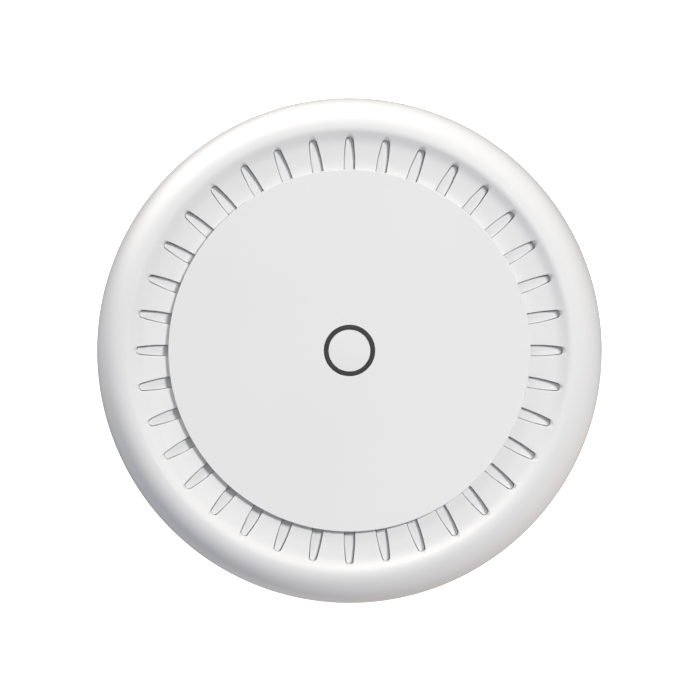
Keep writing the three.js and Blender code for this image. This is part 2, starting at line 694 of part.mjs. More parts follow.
// The flat ribbon between the two boards: level under the small board, then down through the deck.
function ribbonCable() {
  const side = polygon([
    [12, 28.5],
    [RIBBON_Y - 0.8, 28.5],
    [RIBBON_Y + 0.2, 27.5],
    [RIBBON_Y + 0.2, 11.3],
    [RIBBON_Y - 0.2, 11.3],
    [RIBBON_Y - 0.2, 27.3],
    [RIBBON_Y - 1, 28.1],
    [12, 28.1],
  ]);
  const strip = new THREE.ExtrudeGeometry(side, { depth: 2 * RIBBON_HALF_WIDTH, bevelEnabled: false });
  return solidOf(strip.rotateX(Math.PI / 2).rotateZ(Math.PI / 2).translate(-RIBBON_HALF_WIDTH, 0, 0));
}

function ribbonSocket() {
  const body = box(-5.2, 5.2, RIBBON_Y - 1.8, RIBBON_Y + 1.8, ON_BOARD, ON_BOARD + 2.6);
  return cut(body, box(-4.4, 4.4, RIBBON_Y - 0.6, RIBBON_Y + 0.6, ON_BOARD + 1, ON_BOARD + 4));
}

// ---------------------------------------------------------------- fasteners

const SCREW_SOCKET = 1.1;

// A pan-head screw with a six-sided socket, its head on top when up is 1 and below when up is -1.
function screw([x, y], seat, up, length, headRadius = 2.7, headHeight = 1.4, shank = 1.15) {
  const [h0, h1] = up > 0 ? [seat, seat + headHeight] : [seat - headHeight, seat];
  const [s0, s1] = up > 0 ? [seat - length, seat + 0.4] : [seat - 0.4, seat + length];
  const head = rod(headRadius, h0, h1, x, y, 10);
  const [r0, r1] = up > 0 ? [h1 - 0.6, h1 + 1] : [h0 - 1, h0 + 0.6];
  const socket = rod(SCREW_SOCKET, r0, r1, x, y, 6);
  return join(cut(head, socket), rod(shank, s0, s1, x, y, 6));
}

// ---------------------------------------------------------------- assembly

const accessPoint = new THREE.Group();

function add(name, solid, look) {
  const mesh = new THREE.Mesh(geometryOf(solid), new THREE.MeshStandardMaterial(look));
  mesh.name = name;
  accessPoint.add(mesh);
}

add("mounting_bracket", mountingBracket(), STEEL);

add("rear_housing", rearHousing(), WHITE_SATIN);
add("front_cover", frontCover(), WHITE_GLOSS);
add("front_disc", frontDisc(), WHITE_SATIN);
add("vent_baffle", ventBaffle(), WHITE_INNER);
add("light_ring", lightRing(), SMOKED);
add("mode_button", modeButton(), WHITE_SATIN);
add("reset_button", resetButton(), GREY_PLASTIC);
add("cable_door", cableDoor(), WHITE_SATIN);

add("main_board", mainBoard(), BOARD_GREEN);
add("light_board", lightBoard(), BOARD_GREEN);
add("antenna_deck", antennaDeck(), ALUMINIUM);

NETWORK_SOCKETS.forEach((x, i) => {
  add(`network_socket_${i + 1}`, networkSocket(x), STEEL);
  add(`network_transformer_${i + 1}`, chip(x, -30, 13, 9, 5), BLACK_PLASTIC);
});
add("power_socket", powerSocket(), BLACK_PLASTIC);
add("power_transformer", chip(-38, -32, 9, 10, 8), BLACK_PLASTIC);
add("power_inductor", chip(37, -9, 10, 10, 5), BLACK_PLASTIC);
add("capacitor_1", rod(4, ON_BOARD, ON_BOARD + 9, 38, -32, 20), ALUMINIUM);
add("capacitor_2", rod(4, ON_BOARD, ON_BOARD + 9, 27, -32, 20), ALUMINIUM);
add("processor", chip(0, 1, 17, 17, 1.2), BLACK_PLASTIC);
add("thermal_pad", chip(0, 1, 17, 17, 0.8, 11.4), THERMAL_BLUE);
add("heat_sink", heatSink(), ALUMINIUM);
add("memory_chip_1", chip(-37, 6, 9, 12, 1.1), BLACK_PLASTIC);
add("memory_chip_2", chip(-37, -9, 9, 12, 1.1), BLACK_PLASTIC);
add("flash_chip", chip(37, 6, 8, 9, 1.1), BLACK_PLASTIC);
add("shield_can_1", shieldCan(-13), STEEL);
add("shield_can_2", shieldCan(13), STEEL);

add("mode_switch", tactSwitch(0, 0, LIGHT_BOARD.top + FIT, SWITCH_TOP), BLACK_PLASTIC);
add("reset_switch", resetSwitch(), BLACK_PLASTIC);
DIODE_ANGLES.forEach((angle, i) => {
  const [x, y] = polar(DIODE_CIRCLE, angle);
  add(`light_diode_${i + 1}`, chip(x, y, 2.2, 2.2, 1, LIGHT_BOARD.top + FIT), DIODE_YELLOW);
});
add("ribbon_cable", ribbonCable(), RIBBON_WHITE);
add("ribbon_socket", ribbonSocket(), WHITE_INNER);

ANTENNAS.forEach((design, i) => {
  add(design.name, antenna(design), BRASS);
  add(`antenna_lead_${i + 1}`, antennaLead(LEAD_ROUTES[i]), BLACK_PLASTIC);
});

caseScrewPlaces.forEach((place, i) => {
  add(`case_screw_${i + 1}`, screw(place, 4, -1, 11, 3, 0.95), STEEL);
});
BOARD_HOLES.forEach((place, i) => {
  add(`board_screw_${i + 1}`, screw(place, BOARD_TOP + FIT, 1, 4.4), STEEL);
});
DECK_POSTS.forEach((place, i) => {
  add(`deck_screw_${i + 1}`, screw(place, DECK_TOP + FIT, 1, 8), STEEL);
});
LIGHT_BOARD_HOLES.forEach((place, i) => {
  add(`light_board_screw_${i + 1}`, screw(place, LIGHT_BOARD.bottom - FIT, -1, 6, 2.1, 1, 0.9), STEEL);
});

export default accessPoint;
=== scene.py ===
"""Looks of the round ceiling access point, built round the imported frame. Blender 4.5, metres."""

import json
import math

import bmesh
import bpy
from mathutils import Matrix, Vector


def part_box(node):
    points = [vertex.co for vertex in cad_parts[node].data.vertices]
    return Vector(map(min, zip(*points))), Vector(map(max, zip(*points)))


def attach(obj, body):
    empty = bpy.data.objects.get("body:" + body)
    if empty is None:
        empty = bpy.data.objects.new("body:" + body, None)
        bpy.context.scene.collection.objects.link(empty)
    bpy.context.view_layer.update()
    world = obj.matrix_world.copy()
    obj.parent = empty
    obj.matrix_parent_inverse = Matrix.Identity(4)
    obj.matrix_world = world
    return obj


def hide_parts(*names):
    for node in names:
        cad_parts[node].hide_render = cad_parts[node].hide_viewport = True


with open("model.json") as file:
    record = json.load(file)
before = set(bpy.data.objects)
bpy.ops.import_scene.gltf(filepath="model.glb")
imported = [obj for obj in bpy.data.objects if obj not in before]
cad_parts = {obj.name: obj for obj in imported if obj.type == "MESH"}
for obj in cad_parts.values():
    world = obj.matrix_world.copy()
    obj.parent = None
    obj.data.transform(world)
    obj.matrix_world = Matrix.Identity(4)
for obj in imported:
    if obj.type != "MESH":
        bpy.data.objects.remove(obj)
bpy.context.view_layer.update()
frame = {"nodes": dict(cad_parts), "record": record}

MM = 0.001

# ------------------------------------------------------------------ sizes taken from the frame

ring_low, ring_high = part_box("light_ring")
button_low, button_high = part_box("mode_button")

BODY_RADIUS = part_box("front_cover")[1].x
BODY_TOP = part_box("front_cover")[1].z
DISC_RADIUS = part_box("front_disc")[1].x
DISC_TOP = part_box("front_disc")[1].z
BUTTON_TOP = button_high.z
BUTTON_RADIUS = button_high.x
RING_TOP = ring_high.z
BACK_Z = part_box("rear_housing")[0].z
BAFFLE_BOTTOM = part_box("vent_baffle")[0].z

# ------------------------------------------------------------------ section of the shells

WALL = 2.2 * MM
FIT = 0.3 * MM
SEAM_Z = 14 * MM
CHANNEL_Z = 40 * MM
CROWN_RADIUS = 84 * MM  # where the rim is highest
RIM_WIDEST_Z = 25 * MM
RIM_WIDTH = BODY_RADIUS - CROWN_RADIUS
RIM_RISE = BODY_TOP - RIM_WIDEST_Z
SIDE_CENTRE = 86 * MM  # the side below the widest point is part of an ellipse round here
SIDE_WIDTH = BODY_RADIUS - SIDE_CENTRE
SIDE_DROP = 26 * MM
COVER_HOLE = 9.8 * MM

# Slope of the channel in degrees at each radius, from the disc out to the crown: a shallow dish, a
# steep foot, then a rounded lip.
CHANNEL_SLOPES = [
    (68, 0.0),
    (70, 1.0),
    (72, 3.5),
    (75, 4.5),
    (77, 5.5),
    (78, 10.0),
    (79, 20.0),
    (79.7, 26.5),
    (80.5, 30.0),
    (81.5, 33.0),
    (82, 31.0),
    (82.5, 23.0),
    (83, 13.0),
    (83.5, 6.0),
    (84, 0.0),
]

# ------------------------------------------------------------------ vents

VENT_COUNT = 36
VENT_START = 64 * MM
VENT_CAP = 79 * MM  # where a vent's sides end and its round tip begins
VENT_HALF_WIDTH = 2.07 * MM
VENT_NARROWING = 0.56 * MM  # how much narrower each side is at the tip
FLOOR_TIP = 1.2 * MM  # length of the round tip at the bottom of the wall
TOP_TIP = 2.9 * MM  # and at the top of the wall, where the tip's edge is broadly rounded
VENT_EDGE = 0.26 * MM  # radius of the vent's edge along its sides
UNDERSIDE_Z = CHANNEL_Z - WALL
PAD_DEPTH = 1.5 * MM  # from the channel down to the baffle's pads
PAD_GAP = 0.17 * MM
PAD_TIP_GAP = 0.04 * MM
PAD_NARROWING = 0.1 * MM  # how much wider the gap is towards the tip
PAD_EDGE = 0.12 * MM  # radius of the pad's edge
BAFFLE_INNER = 62 * MM
BAFFLE_OUTER = 82 * MM
BAFFLE_TOP = 36.8 * MM

ARC_STEPS = 12  # steps across one vent's sector of the circle
SIDE_STEPS = 22  # steps along one side of a vent
ROUND_STEPS = VENT_COUNT * ARC_STEPS


def smooth(t):
    t = max(0.0, min(1.0, t))
    return t * t * (3 - 2 * t)


def blend(a, b, t):
    return a + (b - a) * t


def channel_heights(steps=240):
    """Height of the channel at even steps of radius, found by adding up its slope."""
    first, last = CHANNEL_SLOPES[0][0], CHANNEL_SLOPES[-1][0]
    radii = [blend(first, last, i / steps) for i in range(steps + 1)]

    def slope(r):
        for (r0, s0), (r1, s1) in zip(CHANNEL_SLOPES, CHANNEL_SLOPES[1:]):
            if r <= r1:
                return math.tan(math.radians(blend(s0, s1, smooth((r - r0) / (r1 - r0)))))
        return 0.0

    heights = [0.0]
    for r0, r1 in zip(radii, radii[1:]):
        heights.append(heights[-1] + slope((r0 + r1) / 2) * (r1 - r0))
    rise = (BODY_TOP - CHANNEL_Z) / heights[-1]
    return [r * MM for r in radii], [CHANNEL_Z + h * rise for h in heights]


CHANNEL_RADII, CHANNEL_HEIGHTS = channel_heights()


def channel_z(r):
    """Height of the cover's front between its centre hole and the crown."""
    if r <= CHANNEL_RADII[0]:
        return CHANNEL_Z
    if r >= CHANNEL_RADII[-1]:
        return BODY_TOP
    span = (r - CHANNEL_RADII[0]) / (CHANNEL_RADII[1] - CHANNEL_RADII[0])
    i = min(int(span), len(CHANNEL_RADII) - 2)
    return blend(CHANNEL_HEIGHTS[i], CHANNEL_HEIGHTS[i + 1], span - i)


def rim_points(inset, count):
    """The rim's section from the crown down to its widest point."""
    points = []
    for i in range(count + 1):
        a = math.pi / 2 * (1 - i / count)
        r = CROWN_RADIUS + (RIM_WIDTH - inset) * math.cos(a)
        points.append((r, RIM_WIDEST_Z + (RIM_RISE - inset) * math.sin(a)))
    return points


def side_radius(z, inset=0.0):
    below = (RIM_WIDEST_Z - z) / SIDE_DROP
    return SIDE_CENTRE + SIDE_WIDTH * math.sqrt(1 - below * below) - inset


def side_points(z0, z1, count, inset=0.0):
    heights = [blend(z0, z1, i / count) for i in range(count + 1)]
    return [(side_radius(z, inset), z) for z in heights]


def rounded(points, radius, steps=4):
    """A closed or open list of section points with each corner at (r, z, round) rounded."""
    out = []
    count = len(points)
    for i, point in enumerate(points):
        r = point[2] if len(point) > 2 else radius
        here = Vector(point[:2])
        before = Vector(points[i - 1][:2])
        after = Vector(points[(i + 1) % count][:2])
        a, b = (before - here), (after - here)
        if r <= 0 or a.length < 1e-9 or b.length < 1e-9:
            out.append(tuple(here))
            continue
        reach = min(r, a.length * 0.45, b.length * 0.45)
        start, end = here + a.normalized() * reach, here + b.normalized() * reach
        for k in range(steps + 1):
            t = k / steps
            p = start * (1 - t) ** 2 + here * 2 * t * (1 - t) + end * t**2
            out.append(tuple(p))
    return out


# ------------------------------------------------------------------ mesh helpers


def mesh_object(name, vertices, faces):
    mesh = bpy.data.meshes.new(name)
    mesh.from_pydata([tuple(v) for v in vertices], [], faces)
    mesh.validate()
    piece = bpy.data.objects.new(name, mesh)
    bpy.context.scene.collection.objects.link(piece)
    return piece


def finish_mesh(piece, merge=1e-7, sharp_degrees=40):
    """Welds the seams, turns every face outward, and shades smooth but for sharp corners."""
    bm = bmesh.new()
    bm.from_mesh(piece.data)
    bmesh.ops.remove_doubles(bm, verts=bm.verts, dist=merge)
    bmesh.ops.dissolve_degenerate(bm, edges=bm.edges, dist=1e-8)
    bmesh.ops.recalc_face_normals(bm, faces=bm.faces)
    bm.to_mesh(piece.data)
    bm.free()
    piece.data.shade_smooth()
    piece.data.set_sharp_from_angle(angle=math.radians(sharp_degrees))
    return piece


def lathe(name, profile, steps=ROUND_STEPS, closed=True):
    """A body of revolution from (radius, z) points. Points at radius 0 close on the axis."""
    vertices, faces, rows = [], [], []
    for r, z in profile:
        if r < 1e-9:
            rows.append([len(vertices)] * steps)
            vertices.append((0, 0, z))
            continue
        rows.append(list(range(len(vertices), len(vertices) + steps)))
        for i in range(steps):
            a = 2 * math.pi * i / steps
            vertices.append((r * math.cos(a), r * math.sin(a), z))
    pairs = list(zip(rows, rows[1:]))
    if closed and profile[0][0] > 1e-9:
        pairs.append((rows[-1], rows[0]))
    for lower, upper in pairs:
        for i in range(steps):
            j = (i + 1) % steps
            face = [lower[i], lower[j], upper[j], upper[i]]
            face = [v for k, v in enumerate(face) if v != face[k - 1]]
            if len(face) > 2:
                faces.append(face)
    return finish_mesh(mesh_object(name, vertices, faces))


def vent_half_width(r):
    return VENT_HALF_WIDTH - VENT_NARROWING * max(0.0, (r - 71 * MM) / (8 * MM)) ** 1.8


def vent_outline(lean, tip, start=VENT_START, narrowing=0.0):
    """Points round a vent on +X, from the middle of its inner end past +Y, the tip and -Y.

    lean widens it on both sides, tip is the length of its round tip and narrowing draws its sides in
    towards the tip. The list has as many points as sector_outline's.
    """
    half = []
    for i in range(SIDE_STEPS):
        t = i / SIDE_STEPS
        r = blend(start, VENT_CAP, t)
        half.append((r, vent_half_width(r) + lean - narrowing * smooth(2 * t - 1)))
    cap_width = vent_half_width(VENT_CAP) + lean - narrowing
    for i in range(ARC_STEPS // 2 + 1):
        a = math.pi / 2 * i / (ARC_STEPS // 2)
        half.append((VENT_CAP + tip * math.sin(a), cap_width * math.cos(a)))
    end = []
    for i in range(ARC_STEPS // 2):
        end.append((half[0][0], half[0][1] * i / (ARC_STEPS // 2)))
    loop = end + half + [(x, -y) for x, y in reversed(half[:-1])]
    loop += [(x, -y) for x, y in reversed(end[1:])]
    return [Vector(p) for p in loop]


def sector_outline(inner_radius, outer_radius, crowding=1.0):
    """Points round one vent's sector, in step with vent_outline. crowding over 1 packs them outward."""
    half_angle = math.pi / VENT_COUNT
    half = ARC_STEPS // 2
    side = [1 - (1 - i / SIDE_STEPS) ** crowding for i in range(SIDE_STEPS)]
    loop = []
    for i in range(half):
        loop.append((inner_radius, half_angle * i / half))
    for t in side:
        loop.append((blend(inner_radius, outer_radius, t), half_angle))
    for i in range(ARC_STEPS + 1):
        loop.append((outer_radius, half_angle * (1 - i / half)))
    for t in reversed(side[1:]):
        loop.append((blend(inner_radius, outer_radius, t), -half_angle))
    for i in range(half):
        loop.append((inner_radius, -half_angle * (1 - i / half)))
    return [Vector((r * math.cos(a), r * math.sin(a))) for r, a in loop]


def stack_of_loops(loops, vertices, faces):
    """Joins closed loops of (x, y, z), all of one length, into a skin."""
    first = len(vertices)
    count = len(loops[0])
    for loop in loops:
        vertices.extend(loop)
    for level in range(len(loops) - 1):
        a = first + level * count
        b = a + count
        for i in range(count):
            j = (i + 1) % count
            faces.append([a + i, a + j, b + j, b + i])


def around(vertices, faces, count):
    """Copies a sector's vertices and faces round the axis."""
    all_vertices, all_faces = [], []
    for k in range(count):
        turn = Matrix.Rotation(2 * math.pi * k / count, 3, "Z")
        base = len(all_vertices)
        all_vertices.extend(turn @ Vector(v) for v in vertices)
        all_faces.extend([base + i for i in face] for face in faces)
    return all_vertices, all_faces


def lathe_into(vertices, faces, profile, steps, half_angle):
    """One sector's share of a body of revolution, from -half_angle to half_angle."""
    rows = []
    for r, z in profile:
        row = []
        for i in range(steps + 1):
            a = blend(-half_angle, half_angle, i / steps)
            row.append(len(vertices))
            vertices.append((r * math.cos(a), r * math.sin(a), z))
        rows.append(row)
    for lower, upper in zip(rows, rows[1:]):
        for i in range(steps):
            faces.append([lower[i], lower[i + 1], upper[i + 1], upper[i]])


def prism(name, outline, z0, z1):
    """A flat outline of (x, y) points pulled up from z0 to z1."""
    count = len(outline)
    vertices = [(x, y, z0) for x, y in outline] + [(x, y, z1) for x, y in outline]
    faces = [list(range(count - 1, -1, -1)), list(range(count, 2 * count))]
    for i in range(count):
        j = (i + 1) % count
        faces.append([i, j, count + j, count + i])
    return mesh_object(name, vertices, faces)


def block(x0, x1, y0, y1, z0, z1):
    return prism("cutter", [(x0, y0), (x1, y0), (x1, y1), (x0, y1)], z0, z1)


def arc(radius, start, end, steps, x=0.0, y=0.0):
    angles = [math.radians(blend(start, end, i / steps)) for i in range(steps + 1)]
    return [(x + radius * math.cos(a), y + radius * math.sin(a)) for a in angles]


def rod(radius, z0, z1, x=0.0, y=0.0, steps=48):
    return prism("cutter", arc(radius, 0, 360, steps, x, y)[:-1], z0, z1)


def level_rod(radius, y0, y1, x, z, steps=32):
    piece = prism("cutter", arc(radius, 0, 360, steps)[:-1], 0, y1 - y0)
    piece.data.transform(Matrix.Translation((x, y1, z)) @ Matrix.Rotation(math.pi / 2, 4, "X"))
    return piece


def turned_by(piece, degrees):
    piece.data.transform(Matrix.Rotation(math.radians(degrees), 4, "Z"))
    return piece


def apply_modifiers(piece):
    graph = bpy.context.evaluated_depsgraph_get()
    mesh = bpy.data.meshes.new_from_object(piece.evaluated_get(graph))
    piece.modifiers.clear()
    old = piece.data
    piece.data = mesh
    bpy.data.meshes.remove(old)
    return piece


def combine(piece, operation, *tools):
    """Joins tools to a piece, or cuts them from it, and removes them."""
    for tool in tools:
        modifier = piece.modifiers.new("combine", "BOOLEAN")
        modifier.operation = operation
        modifier.solver = "EXACT"
        modifier.object = tool
        apply_modifiers(piece)
        bpy.data.objects.remove(tool)
    return piece


def gathered(pieces):
    """Separate solids as one object, so that one boolean takes them all."""
    whole = bmesh.new()
    for piece in pieces:
        whole.from_mesh(piece.data)
    whole.to_mesh(pieces[0].data)
    whole.free()
    for piece in pieces[1:]:
        bpy.data.objects.remove(piece)
    return pieces[0]


def even_flats(piece):
    """Sets the shading normals by face area, so that flat faces stay flat up to their rounded edges."""
    modifier = piece.modifiers.new("even_flats", "WEIGHTED_NORMAL")
    modifier.mode = "FACE_AREA"
    modifier.weight = 100
    modifier.keep_sharp = True
    return apply_modifiers(piece)


def soften(piece, width, degrees=30, segments=2):
    """Rounds the sharp edges by a small width."""
    modifier = piece.modifiers.new("soften", "BEVEL")
    modifier.width = width
    modifier.segments = segments
    modifier.limit_method = "ANGLE"
    modifier.angle_limit = math.radians(degrees)
    modifier.miter_outer = "MITER_ARC"
    apply_modifiers(piece)
    piece.data.shade_smooth()
    piece.data.set_sharp_from_angle(angle=math.radians(35))
    return even_flats(piece)


# ------------------------------------------------------------------ front cover

VENTED_FROM = 61 * MM
VENTED_TO = 82.6 * MM
TOP_LOOPS = 13  # loops of faces between a sector's boundary and its vent
CASE_SCREWS = [30, 150, 210, 330]  # angles of the screws that hold the two shells together
CASE_CIRCLE = 56 * MM
BOSS_PLACES = [(-13.8 * MM, 0), (13.8 * MM, 0)]  # where the small board is screwed on
DISC_PEGS = [45, 135, 225, 315]
PEG_CIRCLE = 50 * MM
PEG_RADIUS = 1.8 * MM
BAFFLE_SPACERS = [5, 65, 125, 185, 245, 305]


def on_circle(radius, degrees):
    return radius * math.cos(math.radians(degrees)), radius * math.sin(math.radians(degrees))


def add_cover_posts(cover):
    """The screw posts and bosses under the cover, their holes, and the holes for the disc's pegs."""
    root = CHANNEL_Z - 1 * MM
    case_posts = [on_circle(CASE_CIRCLE, degrees) for degrees in CASE_SCREWS]
    pegs = [on_circle(PEG_CIRCLE, degrees) for degrees in DISC_PEGS]
    posts = [rod(3.4 * MM, 5.4 * MM, root, x, y) for x, y in case_posts]
    posts += [rod(2.2 * MM, 30.5 * MM, root, x, y) for x, y in BOSS_PLACES]
    holes = [rod(1.5 * MM, 0, 18 * MM, x, y, 24) for x, y in case_posts]
    holes += [rod(1.2 * MM, 20 * MM, 36 * MM, x, y, 24) for x, y in BOSS_PLACES]
    holes += [rod(PEG_RADIUS + FIT, 35 * MM, BODY_TOP, x, y, 32) for x, y in pegs]
    combine(cover, "UNION", gathered(posts))
    return combine(cover, "DIFFERENCE", gathered(holes))


def make_front_cover():
    """The domed shell: 36 equal sectors, each with its vent, and the rim and walls that go round."""
    vertices, faces = [], []
    boundary = sector_outline(VENTED_FROM, VENTED_TO, 1.5)
    wall_foot = vent_outline(0, FLOOR_TIP)
    rim_of_vent = vent_outline(VENT_EDGE, TOP_TIP)
    loops = []
    for i in range(TOP_LOOPS + 1):
        flat = [b.lerp(v, 1 - (1 - i / TOP_LOOPS) ** 1.3) for b, v in zip(boundary, rim_of_vent)]
        loops.append([(p.x, p.y, channel_z(p.length)) for p in flat])
    for degrees in (12, 24, 36, 48, 60, 75, 90):
        a = math.radians(degrees)
        loop = []
        for edge, foot in zip(rim_of_vent, wall_foot):
            p = edge.lerp(foot, math.sin(a))
            drop = (edge - foot).length * (1 - math.cos(a))
            loop.append((p.x, p.y, channel_z(p.length) - drop))
        loops.append(loop)
    loops.append([(p.x, p.y, UNDERSIDE_Z) for p in wall_foot])
    for t in (0.5, 0):
        flat = [b.lerp(v, t) for b, v in zip(boundary, wall_foot)]
        loops.append([(p.x, p.y, UNDERSIDE_Z) for p in flat])
    stack_of_loops(loops, vertices, faces)

    half_angle = math.pi / VENT_COUNT
    hub = [blend(COVER_HOLE, VENTED_FROM, i / 6) for i in range(7)]
    hole_wall = [(COVER_HOLE, CHANNEL_Z), (COVER_HOLE, UNDERSIDE_Z)]
    lathe_into(vertices, faces, [(r, CHANNEL_Z) for r in hub], ARC_STEPS, half_angle)
    lathe_into(vertices, faces, [(r, UNDERSIDE_Z) for r in hub], ARC_STEPS, half_angle)
    lathe_into(vertices, faces, hole_wall, ARC_STEPS, half_angle)

    lip_radii = [VENTED_TO] + [r * MM for r in (82.7, 82.8, 82.9, 83, 83.12, 83.25, 83.4, 83.6, 83.8)]
    rise = [(r, channel_z(r)) for r in lip_radii]
    inner_edge = SEAM_Z + 0.25 * MM
    outer = rise + rim_points(0, 44) + side_points(RIM_WIDEST_Z, inner_edge, 6)[1:]
    seam = [(side_radius(SEAM_Z) - 0.1 * MM, SEAM_Z + 0.07 * MM), (side_radius(SEAM_Z) - 0.3 * MM, SEAM_Z)]
    inner = [(side_radius(SEAM_Z, WALL), SEAM_Z)] + side_points(SEAM_Z, RIM_WIDEST_Z, 3, WALL)[1:]
    inner += list(reversed(rim_points(WALL, 12)))[1:]
    inner += [(83.4 * MM, UNDERSIDE_Z + 1.6 * MM), (VENTED_TO, UNDERSIDE_Z)]
    lathe_into(vertices, faces, outer + seam + inner, ARC_STEPS, half_angle)

    piece = mesh_object("front_cover_shell", *around(vertices, faces, VENT_COUNT))
    finish_mesh(piece, merge=2e-7, sharp_degrees=50)
    return finish_mesh(add_cover_posts(piece), sharp_degrees=50)


# ------------------------------------------------------------------ vent baffle


def pad_z(r):
    """Height of the pads: they follow the dish, but not the steep foot."""
    return CHANNEL_Z - PAD_DEPTH + 0.05 * (channel_z(r) - CHANNEL_Z)


def make_vent_baffle():
    """The ring behind the vents, with a pad that stands up into each one."""
    vertices, faces = [], []
    boundary = sector_outline(BAFFLE_INNER, BAFFLE_OUTER)
    edge = PAD_EDGE
    start = VENT_START + 0.4 * MM
    tip = FLOOR_TIP - PAD_TIP_GAP
    foot = vent_outline(-PAD_GAP, tip, start, PAD_NARROWING)
    loops = []
    for t in (0, 0.5, 1):
        flat = [b.lerp(v, t) for b, v in zip(boundary, foot)]
        loops.append([(p.x, p.y, BAFFLE_TOP) for p in flat])
    loops.append([(p.x, p.y, pad_z(p.length) - edge) for p in foot])
    for degrees in (30, 60, 90):
        a = math.radians(degrees)
        shrink = edge * (1 - math.cos(a))
        flat = vent_outline(-PAD_GAP - shrink, tip - shrink * 0.5, start, PAD_NARROWING)
        loops.append([(p.x, p.y, pad_z(p.length) - edge * (1 - math.sin(a))) for p in flat])
    spine_from, spine_to = start + 2 * MM, VENT_CAP
    last = vent_outline(-PAD_GAP - edge, tip - edge * 0.5, start, PAD_NARROWING)
    for t in (0.3, 0.6, 1):
        flat = []
        for p in last:
            x = max(spine_from, min(spine_to, p.x))
            flat.append(p.lerp(Vector((x, 0)), t))
        loops.append([(p.x, p.y, pad_z(p.length)) for p in flat])
    stack_of_loops(loops, vertices, faces)
    half_angle = math.pi / VENT_COUNT
    under = [
        (BAFFLE_OUTER, BAFFLE_TOP),
        (BAFFLE_OUTER, BAFFLE_BOTTOM),
        (BAFFLE_INNER, BAFFLE_BOTTOM),
        (BAFFLE_INNER, BAFFLE_TOP),
    ]
    lathe_into(vertices, faces, under, ARC_STEPS, half_angle)
    piece = mesh_object("vent_baffle_ring", *around(vertices, faces, VENT_COUNT))
    finish_mesh(piece, merge=2e-7, sharp_degrees=50)
    spacers = []
    for degrees in BAFFLE_SPACERS:
        spacer = block(72 * MM, 74 * MM, -1 * MM, 1 * MM, BAFFLE_TOP - 0.5 * MM, UNDERSIDE_Z - FIT)
        spacers.append(turned_by(spacer, degrees))
    return finish_mesh(combine(piece, "UNION", gathered(spacers)), sharp_degrees=50)


# ------------------------------------------------------------------ disc, ring and button


DISC_THICKNESS = 1.9 * MM
DISC_HOLE = 9.64 * MM
RING_INNER = 8.05 * MM
RING_OUTER = 9.45 * MM


def make_front_disc():
    bottom = DISC_TOP - DISC_THICKNESS
    profile = rounded(
        [
            (DISC_HOLE, bottom, 0.05 * MM),
            (DISC_RADIUS, bottom, 0.15 * MM),
            (DISC_RADIUS, DISC_TOP, 0.3 * MM),
            (DISC_HOLE, DISC_TOP, 0.12 * MM),
        ],
        0,
        6,
    )
    plate = lathe("front_disc_plate", profile)
    places = [on_circle(PEG_CIRCLE, degrees) for degrees in DISC_PEGS]
    pegs = [rod(PEG_RADIUS, UNDERSIDE_Z - 1 * MM, bottom + 1 * MM, x, y, 32) for x, y in places]
    return even_flats(finish_mesh(combine(plate, "UNION", gathered(pegs))))


def make_light_ring():
    inner, outer = RING_INNER, RING_OUTER
    flange = ring_high.x
    flange_top = CHANNEL_Z - WALL - FIT
    profile = rounded(
        [
            (inner, ring_low.z, 0.1 * MM),
            (outer, ring_low.z, 0.1 * MM),
            (outer, flange_top - 1.4 * MM, 0),
            (flange, flange_top - 1.4 * MM, 0.1 * MM),
            (flange, flange_top, 0.1 * MM),
            (outer, flange_top, 0),
            (outer, RING_TOP, 0.12 * MM),
            (inner, RING_TOP, 0.12 * MM),
        ],
        0,
        4,
    )
    return even_flats(lathe("light_ring_guide", profile, 144))


def make_mode_button():
    skirt = BUTTON_RADIUS - 1.4 * MM
    stem = 1.8 * MM
    roof = BUTTON_TOP - 2 * MM
    profile = [
        (0, button_low.z),
        *rounded(
            [
                (stem, button_low.z, 0.1 * MM),
                (stem, roof, 0.3 * MM),
                (skirt, roof, 0.3 * MM),
                (skirt, 37 * MM, 0.1 * MM),
                (BUTTON_RADIUS, 37 * MM, 0.1 * MM),
                (BUTTON_RADIUS, BUTTON_TOP, 0.22 * MM),
            ],
            0,
            5,
        ),
        (BUTTON_RADIUS * 0.5, BUTTON_TOP),
        (0, BUTTON_TOP),
    ]
    return even_flats(lathe("mode_button_cap", profile, 144))


# ------------------------------------------------------------------ rear housing and cable door

LIP_THICKNESS = 1.5 * MM
LIP_HEIGHT = 3 * MM
POCKET_RADIUS = 60.4 * MM
POCKET_Z = 2.9 * MM
FLOOR_TOP = POCKET_Z + WALL
SHELL_TOP = SEAM_Z - FIT

# Cable bay on the -Y side, and the open channel that leads to it from the middle of the back.
BAY_HALF = 34 * MM
BAY_INNER = -60 * MM
BAY_RADIUS = 88 * MM
BAY_ROOF = 23 * MM
BAY_WALL = 2 * MM
CABLE_HALF = 7 * MM
CABLE_ROOF = 5.7 * MM
CABLE_WALL = 1.5 * MM
SEAM_ROUND = 0.22 * MM
BACK_ROUND = 0.7 * MM
FAR = 120 * MM  # past the outside of everything

# Posts and bosses that the boards stand on, and the windows that the sockets look out of, in mm.
BOARD_BOTTOM = 8 * MM
BOARD_HOLES = [(-39, 40), (39, 40), (-39.5, -44), (39.5, -44)]
DECK_POSTS = [(-30, 24), (30, 24), (-30, -22), (30, -22)]
DECK_BOTTOM = 26.2 * MM
BOSS_RADIUS = 2.8 * MM
SCREW_HOLE = 1.5 * MM
SOCKET_WINDOWS = [(-9, 8, 12.7), (10, 8, 12.7), (-25.5, 4.5, 11)]  # middle, half width and height
SOCKET_BOTTOM = 9.6 * MM
WINDOW_BACK = -57 * MM

DOOR_TRAVEL = 9 * MM
TONGUE_FROM = -70 * MM  # the door's tongues, which slide in a groove of the housing
TONGUE_TO = -63 * MM
TONGUE_REACH = 36.6 * MM
TONGUE_TOP = 4.9 * MM

